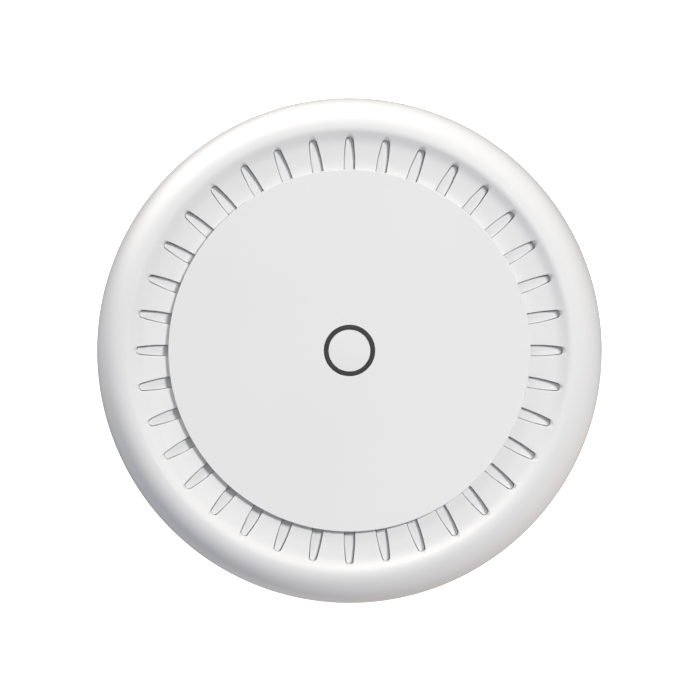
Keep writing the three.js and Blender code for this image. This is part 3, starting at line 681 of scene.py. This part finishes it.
HOOKS = [90, 210, 330]  # angles of the bracket's bayonet hooks
TWIST = 25
HOOK_SPAN = 6.6  # half the angle that clears a hook
SLOT_INNER = 42.5 * MM
SLOT_OUTER = 45.5 * MM
KEY_OUTER = 49.2 * MM


def bay_outline(margin):
    radius = BAY_RADIUS + margin
    half = BAY_HALF + margin
    reach = math.degrees(math.asin(half / radius))
    back = BAY_INNER + margin
    return [(-half, back), *arc(radius, -90 - reach, -90 + reach, 48), (half, back)]


def ring_sector(inner, outer, start, end, steps=24):
    return arc(outer, start, end, steps) + arc(inner, end, start, steps)


def hook_slot(degrees):
    """The wide key hole that a hook comes in by, and the narrow arc that it locks into."""
    entry = degrees - TWIST
    top = BOARD_BOTTOM
    key = ring_sector(SLOT_INNER, KEY_OUTER, entry - HOOK_SPAN, entry + HOOK_SPAN)
    way = ring_sector(SLOT_INNER, SLOT_OUTER, entry, degrees + HOOK_SPAN, 48)
    return [prism("cutter", key, 0, top), prism("cutter", way, 0, top)]


def make_rear_housing():
    """The back shell: its turned wall and pocket, the cable bay, and all the holes cut in it."""
    lip_outer = side_radius(SEAM_Z, WALL + FIT)
    lip_inner = lip_outer - LIP_THICKNESS
    floor_edge = POCKET_RADIUS + WALL
    inner_side = side_points(BACK_Z + WALL, SHELL_TOP - LIP_HEIGHT, 8, WALL + FIT)
    outer_side = side_points(SHELL_TOP, BACK_Z, 20)
    outer_side[0] = (*outer_side[0], SEAM_ROUND)
    outer_side[-1] = (*outer_side[-1], BACK_ROUND)
    profile = [(0, FLOOR_TOP, 0), (floor_edge, FLOOR_TOP, 0.3 * MM), (floor_edge, BACK_Z + WALL, 0.3 * MM)]
    profile += [(*p, 0) for p in inner_side]
    profile += [
        (lip_inner, SHELL_TOP, 0),
        (lip_inner, SHELL_TOP + LIP_HEIGHT, 0.2 * MM),
        (lip_outer, SHELL_TOP + LIP_HEIGHT, 0.3 * MM),
        (lip_outer, SHELL_TOP, 0),
    ]
    profile += outer_side[:1] + [(*p, 0) for p in outer_side[1:-1]] + outer_side[-1:]
    profile += [
        (POCKET_RADIUS, BACK_Z, 0.3 * MM),
        (POCKET_RADIUS, POCKET_Z, 0.2 * MM),
        (0, POCKET_Z, 0),
    ]
    shell = lathe("rear_housing_shell", rounded(profile, 0, 4), closed=False)

    channel_reach = CABLE_HALF + CABLE_WALL
    channel_top = CABLE_ROOF + CABLE_WALL
    root = POCKET_Z + 1 * MM
    board_top, deck_top = BOARD_BOTTOM - FIT, DECK_BOTTOM - FIT
    combine(
        shell,
        "UNION",
        prism("cutter", bay_outline(BAY_WALL), BACK_Z + 0.5 * MM, BAY_ROOF + BAY_WALL),
        block(-channel_reach, channel_reach, BAY_INNER + 1 * MM, 8.6 * MM, POCKET_Z, channel_top),
        *[rod(BOSS_RADIUS, root, board_top, x * MM, y * MM) for x, y in BOARD_HOLES],
        *[rod(BOSS_RADIUS, root, deck_top, x * MM, y * MM) for x, y in DECK_POSTS],
    )

    opening_top = SHELL_TOP + LIP_HEIGHT + 1 * MM
    side_opening = block(-BAY_HALF, BAY_HALF, -FAR, BAY_INNER - 1 * MM, 0, opening_top)
    bay_keep = prism("cutter", bay_outline(BAY_WALL + 0.03 * MM), SHELL_TOP, BAY_ROOF)
    combine(side_opening, "DIFFERENCE", bay_keep)
    combine(side_opening, "UNION", prism("cutter", bay_outline(0), 0, BAY_ROOF))
    tongue = TONGUE_REACH + FIT
    tongue_back = TONGUE_TO + FIT
    tongue_top = TONGUE_TOP + FIT
    cutters = [
        side_opening,
        block(-CABLE_HALF, CABLE_HALF, BAY_INNER - 1 * MM, 7 * MM, 0, CABLE_ROOF),
        block(-tongue, tongue, TONGUE_FROM - DOOR_TRAVEL - 1 * MM, tongue_back, BACK_Z + WALL, tongue_top),
    ]
    window_front = BAY_INNER - 1 * MM
    for middle, half_width, height in SOCKET_WINDOWS:
        x = middle * MM
        reach = half_width * MM + FIT
        top = SOCKET_BOTTOM + height * MM + 2 * FIT
        cutters.append(block(x - reach, x + reach, window_front, WINDOW_BACK, SOCKET_BOTTOM, top))
    cutters.append(level_rod(2 * MM, window_front, WINDOW_BACK, 25 * MM, 13 * MM))
    low = FLOOR_TOP - 0.6 * MM
    cutters += [rod(SCREW_HOLE, low, 20 * MM, x * MM, y * MM, 24) for x, y in BOARD_HOLES]
    low = DECK_BOTTOM - 9 * MM
    cutters += [rod(SCREW_HOLE, low, 30 * MM, x * MM, y * MM, 24) for x, y in DECK_POSTS]
    for degrees in CASE_SCREWS:
        x, y = on_circle(CASE_CIRCLE, degrees)
        cutters += [rod(1.9 * MM, 0, 7 * MM, x, y), rod(3.5 * MM, 0, 4.2 * MM, x, y)]
    for degrees in HOOKS:
        cutters += hook_slot(degrees)
    combine(shell, "DIFFERENCE", *cutters)
    return soften(shell, 0.15 * MM)


def make_cable_door():
    """The door carries the housing's round wall across the bay, and slides on two tongues."""
    outer_side = side_points(SHELL_TOP, BACK_Z, 20)
    profile = [(*outer_side[0], SEAM_ROUND)]
    profile += [(*p, 0) for p in outer_side[1:-1]]
    profile += [(*outer_side[-1], BACK_ROUND)]
    profile += [(55 * MM, BACK_Z, 0), (55 * MM, BACK_Z + WALL, 0)]
    profile += [(*p, 0) for p in side_points(BACK_Z + WALL, SHELL_TOP, 8, WALL)]
    door = lathe("cable_door_panel", rounded(profile, 0, 4))
    half = BAY_HALF - FIT
    combine(door, "INTERSECT", block(-half, half, -FAR, BAY_INNER - 1 * MM, 0, BODY_TOP))
    inner, outer = 30 * MM, 33 * MM
    tongue_bottom = 3.5 * MM
    foot_bottom, foot_top = BACK_Z + 1 * MM, TONGUE_TOP - 0.05 * MM
    combine(
        door,
        "UNION",
        block(inner, TONGUE_REACH, TONGUE_FROM, TONGUE_TO, tongue_bottom, TONGUE_TOP),
        block(-TONGUE_REACH, -inner, TONGUE_FROM, TONGUE_TO, tongue_bottom, TONGUE_TOP),
        block(inner, outer, TONGUE_FROM, TONGUE_TO, foot_bottom, foot_top),
        block(-outer, -inner, TONGUE_FROM, TONGUE_TO, foot_bottom, foot_top),
    )
    half_exit, exit_height = 8 * MM, 7.5 * MM
    corner = 2 * MM
    arch = [(-half_exit, -5 * MM), (half_exit, -5 * MM)]
    arch += arc(corner, 0, 90, 10, half_exit - corner, exit_height - corner)
    arch += arc(corner, 90, 180, 10, -half_exit + corner, exit_height - corner)
    exit_way = prism("cutter", arch, 78 * MM, FAR)
    exit_way.data.transform(Matrix.Rotation(math.pi / 2, 4, "X"))
    combine(
        door,
        "DIFFERENCE",
        exit_way,
        block(-CABLE_HALF, CABLE_HALF, -66 * MM, -50 * MM, 0, 9 * MM),
    )
    return soften(door, 0.2 * MM)


BRACKET_RADIUS = 57 * MM
BRACKET_THICKNESS = 1.6 * MM
BRACKET_HOLE = 15 * MM
NOTCH_HALF = 9 * MM
HOOK_HALF = 4 * MM


def make_bracket():
    """The flat steel plate with its three hooks, its windows and its slots for ceiling screws."""
    plate = rod(BRACKET_RADIUS, 0, BRACKET_THICKNESS, steps=ROUND_STEPS)
    plate.name = "mounting_bracket_plate"
    hooks = []
    for degrees in HOOKS:
        section = rounded(
            [
                (43.2 * MM, 0.5 * MM, 0),
                (44.8 * MM, 0.5 * MM, 0),
                (44.8 * MM, 5.5 * MM, 0.3 * MM),
                (48.4 * MM, 5.5 * MM, 0.2 * MM),
                (48.4 * MM, 6.9 * MM, 0.4 * MM),
                (43.2 * MM, 6.9 * MM, 1.6 * MM),
            ],
            0,
            6,
        )
        hook = prism("cutter", section, -HOOK_HALF, HOOK_HALF)
        hook.data.transform(Matrix.Rotation(math.pi / 2, 4, "X"))
        hooks.append(turned_by(hook, degrees))
    combine(plate, "UNION", *hooks)
    low, high = -1 * MM, 3 * MM
    notch = block(-NOTCH_HALF, NOTCH_HALF, -FAR, 0, low, high)
    cutters = [rod(BRACKET_HOLE, low, high, steps=96), notch]
    window = ring_sector(40 * MM, 50 * MM, 12, 48, 32)
    cutters += [turned_by(prism("cutter", window, low, high), degrees) for degrees in (0, 120)]
    circle, half_width, half_length = 31 * MM, 2.2 * MM, 5 * MM
    slot = arc(half_width, 0, 180, 16, circle, half_length)
    slot += arc(half_width, 180, 360, 16, circle, -half_length)
    cutters += [turned_by(prism("cutter", slot, low, high), degrees) for degrees in (0, 60, 120, 180)]
    combine(plate, "DIFFERENCE", *cutters)
    return soften(plate, 0.18 * MM)


# ------------------------------------------------------------------ materials


class Shader:
    """A node material with a few short ways to add and join nodes."""

    def __init__(self, name):
        self.material = bpy.data.materials.new(name)
        self.material.use_nodes = True
        self.tree = self.material.node_tree
        self.tree.nodes.clear()
        self.output = self.tree.nodes.new("ShaderNodeOutputMaterial")
        self.surface = self.tree.nodes.new("ShaderNodeBsdfPrincipled")
        self.link(self.surface.outputs["BSDF"], self.output.inputs["Surface"])
        coordinates = self.tree.nodes.new("ShaderNodeTexCoord")
        self.place = coordinates.outputs["Object"]

    def link(self, source, target):
        self.tree.links.new(source, target)

    def set(self, **values):
        for key, value in values.items():
            self.surface.inputs[key.replace("_", " ")].default_value = value

    def noise(self, scale, detail=2.0, roughness=0.5, vector=None):
        node = self.tree.nodes.new("ShaderNodeTexNoise")
        node.inputs["Scale"].default_value = scale
        node.inputs["Detail"].default_value = detail
        node.inputs["Roughness"].default_value = roughness
        self.link(vector or self.place, node.inputs["Vector"])
        return node.outputs["Fac"]

    def cells(self, scale, feature="F1"):
        node = self.tree.nodes.new("ShaderNodeTexVoronoi")
        node.feature = feature
        node.inputs["Scale"].default_value = scale
        self.link(self.place, node.inputs["Vector"])
        return node.outputs["Distance"]

    def math(self, operation, a, b=None, c=None):
        node = self.tree.nodes.new("ShaderNodeMath")
        node.operation = operation
        for socket, value in zip(node.inputs, (a, b, c)):
            if value is None:
                continue
            if isinstance(value, (int, float)):
                socket.default_value = value
            else:
                self.link(value, socket)
        return node.outputs[0]

    def spread(self, value, low, high, from_low=0.3, from_high=0.7):
        node = self.tree.nodes.new("ShaderNodeMapRange")
        node.inputs["From Min"].default_value = from_low
        node.inputs["From Max"].default_value = from_high
        node.inputs["To Min"].default_value = low
        node.inputs["To Max"].default_value = high
        self.link(value, node.inputs["Value"])
        return node.outputs["Result"]

    def ramp(self, value, *stops):
        node = self.tree.nodes.new("ShaderNodeValToRGB")
        elements = node.color_ramp.elements
        while len(elements) < len(stops):
            elements.new(0.5)
        for element, (position, colour) in zip(elements, stops):
            element.position = position
            element.color = (*colour, 1)
        self.link(value, node.inputs["Fac"])
        return node.outputs["Color"]

    def bump(self, height, strength, distance, normal=None):
        node = self.tree.nodes.new("ShaderNodeBump")
        node.inputs["Strength"].default_value = strength
        node.inputs["Distance"].default_value = distance
        self.link(height, node.inputs["Height"])
        if normal is not None:
            self.link(normal, node.inputs["Normal"])
        return node.outputs["Normal"]

    def mix(self, amount, first, second):
        """A colour between first and second; either may be a socket or three numbers."""
        node = self.tree.nodes.new("ShaderNodeMix")
        node.data_type = "RGBA"
        self.link(amount, node.inputs["Factor"])
        for socket, value in zip((node.inputs[6], node.inputs[7]), (first, second)):
            if isinstance(value, tuple):
                socket.default_value = (*value, 1)
            else:
                self.link(value, socket)
        return node.outputs[2]

    def scratches(self, scale, width):
        """Sparse hairline rub marks: 1 on a mark and 0 elsewhere."""
        lines = self.math("LESS_THAN", self.cells(scale, "DISTANCE_TO_EDGE"), width)
        broken = self.spread(self.noise(scale * 1.7, 3), 0, 1, 0.5, 0.62)
        return self.math("MULTIPLY", lines, broken)

    def pointiness(self):
        node = self.tree.nodes.new("ShaderNodeNewGeometry")
        return node.outputs["Pointiness"]


def white_plastic(name, colour, gloss, grain, grain_size, ripple=0.0):
    """Moulded white plastic: mould grain, cloudy gloss, faint rub marks, and darker, warmer patches in
    concave corners.

    ripple adds the faint concentric waves that a glossy round moulding shows.
    """
    shader = Shader(name)
    drift = shader.noise(14, 3)
    darker = tuple(c * 0.985 for c in colour)
    clean = shader.ramp(drift, (0.35, darker), (0.65, colour))
    # Darker, warmer patches where the surface is concave, found by pointiness and broken up by fine noise.
    corners = shader.spread(shader.pointiness(), 1, 0, 0.42, 0.49)
    hollow_darkening = shader.math("MULTIPLY", corners, shader.spread(shader.noise(420, 4, 0.6), 0.05, 0.35))
    patch_tint = tuple(c * 0.9 for c in (colour[0], colour[1] * 0.99, colour[2] * 0.97))
    shader.link(shader.mix(hollow_darkening, clean, patch_tint), shader.surface.inputs["Base Color"])

    cloud = shader.spread(shader.noise(55, 4, 0.6), gloss * 0.92, gloss * 1.1)
    rubs = shader.scratches(90, 0.012)
    rubbed = shader.math("MULTIPLY_ADD", rubs, 0.03, cloud)
    shader.link(rubbed, shader.surface.inputs["Roughness"])

    normal = shader.bump(shader.noise(grain_size, 3, 0.6), grain, 0.00002)
    normal = shader.bump(rubs, 0.02, 0.00001, normal)
    if ripple:
        rings = shader.tree.nodes.new("ShaderNodeTexWave")
        rings.wave_type = "RINGS"
        rings.rings_direction = "Z"
        rings.inputs["Scale"].default_value = 130
        rings.inputs["Distortion"].default_value = 0.6
        shader.link(shader.place, rings.inputs["Vector"])
        normal = shader.bump(rings.outputs["Fac"], ripple, 0.00002, normal)
    shader.link(normal, shader.surface.inputs["Normal"])
    shader.set(IOR=1.49)
    return shader.material


def smoked_plastic():
    """Smoke-tinted plastic that lets the light ring's glow out: dark, glossy and a little hazed."""
    shader = Shader("smoked_ring_plastic")
    drift = shader.noise(300, 3)
    shader.link(
        shader.ramp(drift, (0.3, (0.043, 0.044, 0.044)), (0.7, (0.052, 0.053, 0.053))),
        shader.surface.inputs["Base Color"],
    )
    haze = shader.spread(shader.noise(800, 3), 0.3, 0.38)
    rubs = shader.scratches(260, 0.02)
    shader.link(shader.math("MULTIPLY_ADD", rubs, 0.08, haze), shader.surface.inputs["Roughness"])
    shader.link(shader.bump(shader.noise(5000, 2), 0.15, 0.00002), shader.surface.inputs["Normal"])
    shader.set(IOR=1.52)
    return shader.material


def metal(name, colour, roughness, brushed=True):
    """Bare or plated metal: rolling streaks, dull stains, fine scratches and edges worn bright."""
    shader = Shader(name)
    stretch = shader.tree.nodes.new("ShaderNodeMapping")
    stretch.inputs["Scale"].default_value = (1, 30, 30) if brushed else (1, 1, 1)
    shader.link(shader.place, stretch.inputs["Vector"])
    streak = shader.noise(260 if brushed else 900, 4, 0.6, stretch.outputs["Vector"])
    darker = tuple(c * 0.82 for c in colour)
    plain = shader.ramp(streak, (0.3, darker), (0.7, colour))
    stains = shader.spread(shader.noise(70, 5, 0.62), 0, 0.5, 0.5, 0.72)
    stained = shader.mix(stains, plain, tuple(c * 0.68 for c in colour))
    worn = shader.spread(shader.pointiness(), 0, 0.8, 0.51, 0.6)
    bright = tuple(min(0.92, c * 1.25) for c in colour)
    shader.link(shader.mix(worn, stained, bright), shader.surface.inputs["Base Color"])

    scratches = shader.scratches(140, 0.01)
    sheen = shader.spread(streak, roughness * 0.8, roughness * 1.25)
    dulled = shader.math("MULTIPLY_ADD", stains, 0.25, sheen)
    shader.link(shader.math("MULTIPLY_ADD", scratches, 0.08, dulled), shader.surface.inputs["Roughness"])
    normal = shader.bump(streak, 0.12, 0.00003)
    shader.link(shader.bump(scratches, 0.05, 0.00001, normal), shader.surface.inputs["Normal"])
    shader.set(Metallic=1.0)
    return shader.material


def moulded(name, colour, roughness, speck=1.25):
    """Plain moulded or printed surface: fine grain, cloudy gloss and a little settled dust."""
    shader = Shader(name)
    grain = shader.noise(2500, 3)
    lighter = tuple(min(1, c * speck) for c in colour)
    clean = shader.ramp(grain, (0.3, colour), (0.75, lighter))
    patch_tint = shader.spread(shader.noise(160, 5, 0.65), 0, 0.12, 0.48, 0.75)
    shader.link(shader.mix(patch_tint, clean, (0.5, 0.49, 0.47)), shader.surface.inputs["Base Color"])
    cloud = shader.spread(shader.noise(220, 3), roughness * 0.9, roughness * 1.1)
    shader.link(shader.math("MULTIPLY_ADD", grain, 0.08, cloud), shader.surface.inputs["Roughness"])
    shader.link(shader.bump(grain, 0.25, 0.00003), shader.surface.inputs["Normal"])
    return shader.material


def circuit_board():
    """Green solder mask over faint copper tracks, with a thin haze of flux."""
    shader = Shader("circuit_board_mask")
    across = shader.tree.nodes.new("ShaderNodeTexBrick")
    across.offset = 0.37
    across.inputs["Scale"].default_value = 60
    across.inputs["Mortar Size"].default_value = 0.03
    shader.link(shader.place, across.inputs["Vector"])
    tracks = across.outputs["Fac"]
    mask = shader.mix(tracks, (0.012, 0.085, 0.035), (0.03, 0.16, 0.075))
    flux = shader.spread(shader.noise(110, 5, 0.6), 0, 0.3, 0.5, 0.75)
    shader.link(shader.mix(flux, mask, (0.06, 0.13, 0.09)), shader.surface.inputs["Base Color"])
    shader.link(shader.bump(tracks, 0.3, 0.00005), shader.surface.inputs["Normal"])
    gloss = shader.spread(shader.noise(900, 3), 0.25, 0.4)
    shader.link(shader.math("MULTIPLY_ADD", flux, 0.5, gloss), shader.surface.inputs["Roughness"])
    return shader.material


COVER_WHITE = white_plastic("cover_white_plastic", (0.805, 0.80, 0.796), 0.22, 0.05, 3500, 0.1)
DISC_WHITE = white_plastic("disc_white_plastic", (0.805, 0.80, 0.798), 0.58, 0.3, 5200)
HOUSING_WHITE = white_plastic("housing_white_plastic", (0.78, 0.782, 0.785), 0.5, 0.45, 3000)
BAFFLE_WHITE = white_plastic("baffle_white_plastic", (0.80, 0.80, 0.80), 0.4, 0.2, 3500)
SMOKED = smoked_plastic()

MATERIAL_OF_SLOT = {
    "cover_white": COVER_WHITE,
    "disc_white": DISC_WHITE,
    "housing_white": HOUSING_WHITE,
    "baffle_white": BAFFLE_WHITE,
    "smoked_ring": SMOKED,
    "grey_plastic": moulded("grey_plastic_moulded", (0.27, 0.28, 0.29), 0.55),
    "bracket_steel": metal("bracket_zinc_steel", (0.62, 0.63, 0.65), 0.34),
    "shield_steel": metal("shield_tin_steel", (0.66, 0.67, 0.69), 0.28),
    "screw_steel": metal("screw_zinc_steel", (0.55, 0.56, 0.58), 0.3, False),
    "sheet_aluminium": metal("sheet_aluminium_rolled", (0.75, 0.76, 0.77), 0.36),
    "cast_aluminium": metal("cast_aluminium_plain", (0.66, 0.67, 0.68), 0.5, False),
    "antenna_brass": metal("antenna_brass_sheet", (0.78, 0.6, 0.3), 0.3),
    "circuit_board": circuit_board(),
    "black_component": moulded("black_component_moulded", (0.02, 0.02, 0.022), 0.5, 1.8),
    "thermal_pad": moulded("thermal_pad_silicone", (0.2, 0.33, 0.5), 0.8),
    "diode_lens": moulded("diode_lens_phosphor", (0.8, 0.72, 0.36), 0.25, 1.1),
    "ribbon": moulded("ribbon_laminate", (0.72, 0.73, 0.75), 0.35, 1.1),
    "lead_jacket": moulded("lead_jacket_black", (0.03, 0.03, 0.032), 0.45, 1.6),
}


def paint(piece, material):
    piece.data.materials.clear()
    piece.data.materials.append(material)


# ------------------------------------------------------------------ camera, light and floor

VIEW_WIDTH = 264.8 * MM  # how wide the picture is at the housing's widest point
LENS = 300
SENSOR = 36
KEY_REACH = 4  # a distant softbox, so that the light is even over the disc
KEY_SIZE = 0.9
KEY_POWER = 126
KEY_TILT = 35
KEY_AZIMUTH = 35
PANEL_REACH = 3  # a weak panel near the camera, for a soft gloss on the channel
PANEL_SIZE = 0.5
PANEL_POWER = 2.2
PANEL_TILT = 9
AIM_HEIGHT = 30 * MM


def make_camera():
    """A long lens straight above the front, as wide as VIEW_WIDTH at the rim's widest point."""
    data = bpy.data.cameras.new("camera")
    camera = bpy.data.objects.new("camera", data)
    bpy.context.scene.collection.objects.link(camera)
    data.lens = LENS
    data.sensor_width = SENSOR
    camera.location = (0.2 * MM, 0.2 * MM, RIM_WIDEST_Z + VIEW_WIDTH * LENS / SENSOR)
    data.clip_start = 0.05
    data.clip_end = 20
    bpy.context.scene.camera = camera


def direction(azimuth, elevation):
    """Unit vector from angles in degrees; azimuth 0 is the right of the picture and 90 its top."""
    a, e = math.radians(azimuth), math.radians(elevation)
    return Vector((math.cos(e) * math.cos(a), math.cos(e) * math.sin(a), math.sin(e)))


def area_light(name, power, size, location):
    """A round softbox that faces the object and isn't seen itself."""
    data = bpy.data.lights.new(name, "AREA")
    data.energy = power
    data.shape = "DISK"
    data.size = size
    lamp = bpy.data.objects.new(name, data)
    bpy.context.scene.collection.objects.link(lamp)
    lamp.location = location
    lamp.visible_camera = False
    aim = Vector((0, 0, AIM_HEIGHT)) - Vector(location)
    lamp.rotation_mode = "QUATERNION"
    lamp.rotation_quaternion = aim.to_track_quat("-Z", "Y")
    return lamp


def make_lights():
    key_place = direction(KEY_AZIMUTH, 90 - KEY_TILT) * KEY_REACH
    key = area_light("key_light", KEY_POWER, KEY_SIZE, key_place)
    key.visible_glossy = False
    panel_place = direction(KEY_AZIMUTH, 90 - PANEL_TILT) * PANEL_REACH
    area_light("front_panel", PANEL_POWER, PANEL_SIZE, panel_place)


# The studio round the object, as a dim base with broad glows added to it. Each has its colour, the
# azimuth and elevation of its middle, and the cosines where it starts and where it is full.
STUDIO_BASE = (0.1, 0.1, 0.104)
STUDIO_GLOWS = [
    ((0.3, 0.32, 0.37), -140, 6, 0.1, 0.8),
    ((0.66, 0.6, 0.55), -55, -30, 0.35, 0.9),
    ((6.1, 5.95, 5.7), 118, 2, 0.6, 1.35),
]


def make_world():
    """The studio's walls as a world shader."""
    world = bpy.data.worlds.new("studio")
    bpy.context.scene.world = world
    world.use_nodes = True
    tree = world.node_tree
    background = tree.nodes["Background"]
    coordinates = tree.nodes.new("ShaderNodeTexCoord")

    def add_node(kind, inputs, **settings):
        node = tree.nodes.new(kind)
        for key, value in settings.items():
            setattr(node, key, value)
        for socket, value in inputs.items():
            if isinstance(value, bpy.types.NodeSocket):
                tree.links.new(value, node.inputs[socket])
            else:
                node.inputs[socket].default_value = value
        return node

    total = None
    for colour, azimuth, elevation, start, full in STUDIO_GLOWS:
        axis = direction(azimuth, elevation)
        inputs = {0: coordinates.outputs["Generated"], 1: axis}
        towards = add_node("ShaderNodeVectorMath", inputs, operation="DOT_PRODUCT")
        inputs = {"Value": towards.outputs["Value"], "From Min": start, "From Max": full}
        amount = add_node("ShaderNodeMapRange", inputs, interpolation_type="SMOOTHSTEP")
        inputs = {0: colour, "Scale": amount.outputs["Result"]}
        glow = add_node("ShaderNodeVectorMath", inputs, operation="SCALE")
        inputs = {0: STUDIO_BASE if total is None else total, 1: glow.outputs["Vector"]}
        total = add_node("ShaderNodeVectorMath", inputs, operation="ADD").outputs["Vector"]
    tree.links.new(total, background.inputs["Color"])
    background.inputs["Strength"].default_value = 1.0


def make_floor():
    """A plain white floor that lights nothing and takes no part in reflections."""
    bpy.ops.mesh.primitive_plane_add(size=40, location=(0, 0, -0.0004))
    floor = bpy.context.object
    floor.name = "floor"
    shader = Shader("floor_pale")
    shader.surface.inputs["Base Color"].default_value = (0.9, 0.9, 0.9, 1)
    shader.surface.inputs["Roughness"].default_value = 0.8
    shader.surface.inputs["Emission Color"].default_value = (1, 1, 1, 1)
    shader.surface.inputs["Emission Strength"].default_value = 1.0
    paint(floor, shader.material)
    floor.visible_diffuse = False
    floor.visible_glossy = False
    floor.visible_shadow = False


# ------------------------------------------------------------------ assembly

make_camera()
make_lights()
make_world()
make_floor()

for item in frame["record"]["subparts"]:
    paint(frame["nodes"][item["node"]], MATERIAL_OF_SLOT[item["material_slot"]])


def place(piece, body, slot, *nodes):
    """Puts a piece on its body, in its material, in the place of its CAD nodes."""
    paint(piece, MATERIAL_OF_SLOT[slot])
    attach(piece, body)
    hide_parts(*nodes)


place(make_front_cover(), "access_point", "cover_white", "front_cover")
place(make_vent_baffle(), "access_point", "baffle_white", "vent_baffle")
place(make_front_disc(), "access_point", "disc_white", "front_disc")
place(make_light_ring(), "access_point", "smoked_ring", "light_ring")
place(make_mode_button(), "mode_button", "disc_white", "mode_button")
place(make_rear_housing(), "access_point", "housing_white", "rear_housing")
place(make_cable_door(), "cable_door", "housing_white", "cable_door")
place(make_bracket(), "mounting_bracket", "bracket_steel", "mounting_bracket")

bpy.context.scene.view_settings.view_transform = "Standard"
bpy.context.scene.view_settings.look = "None"
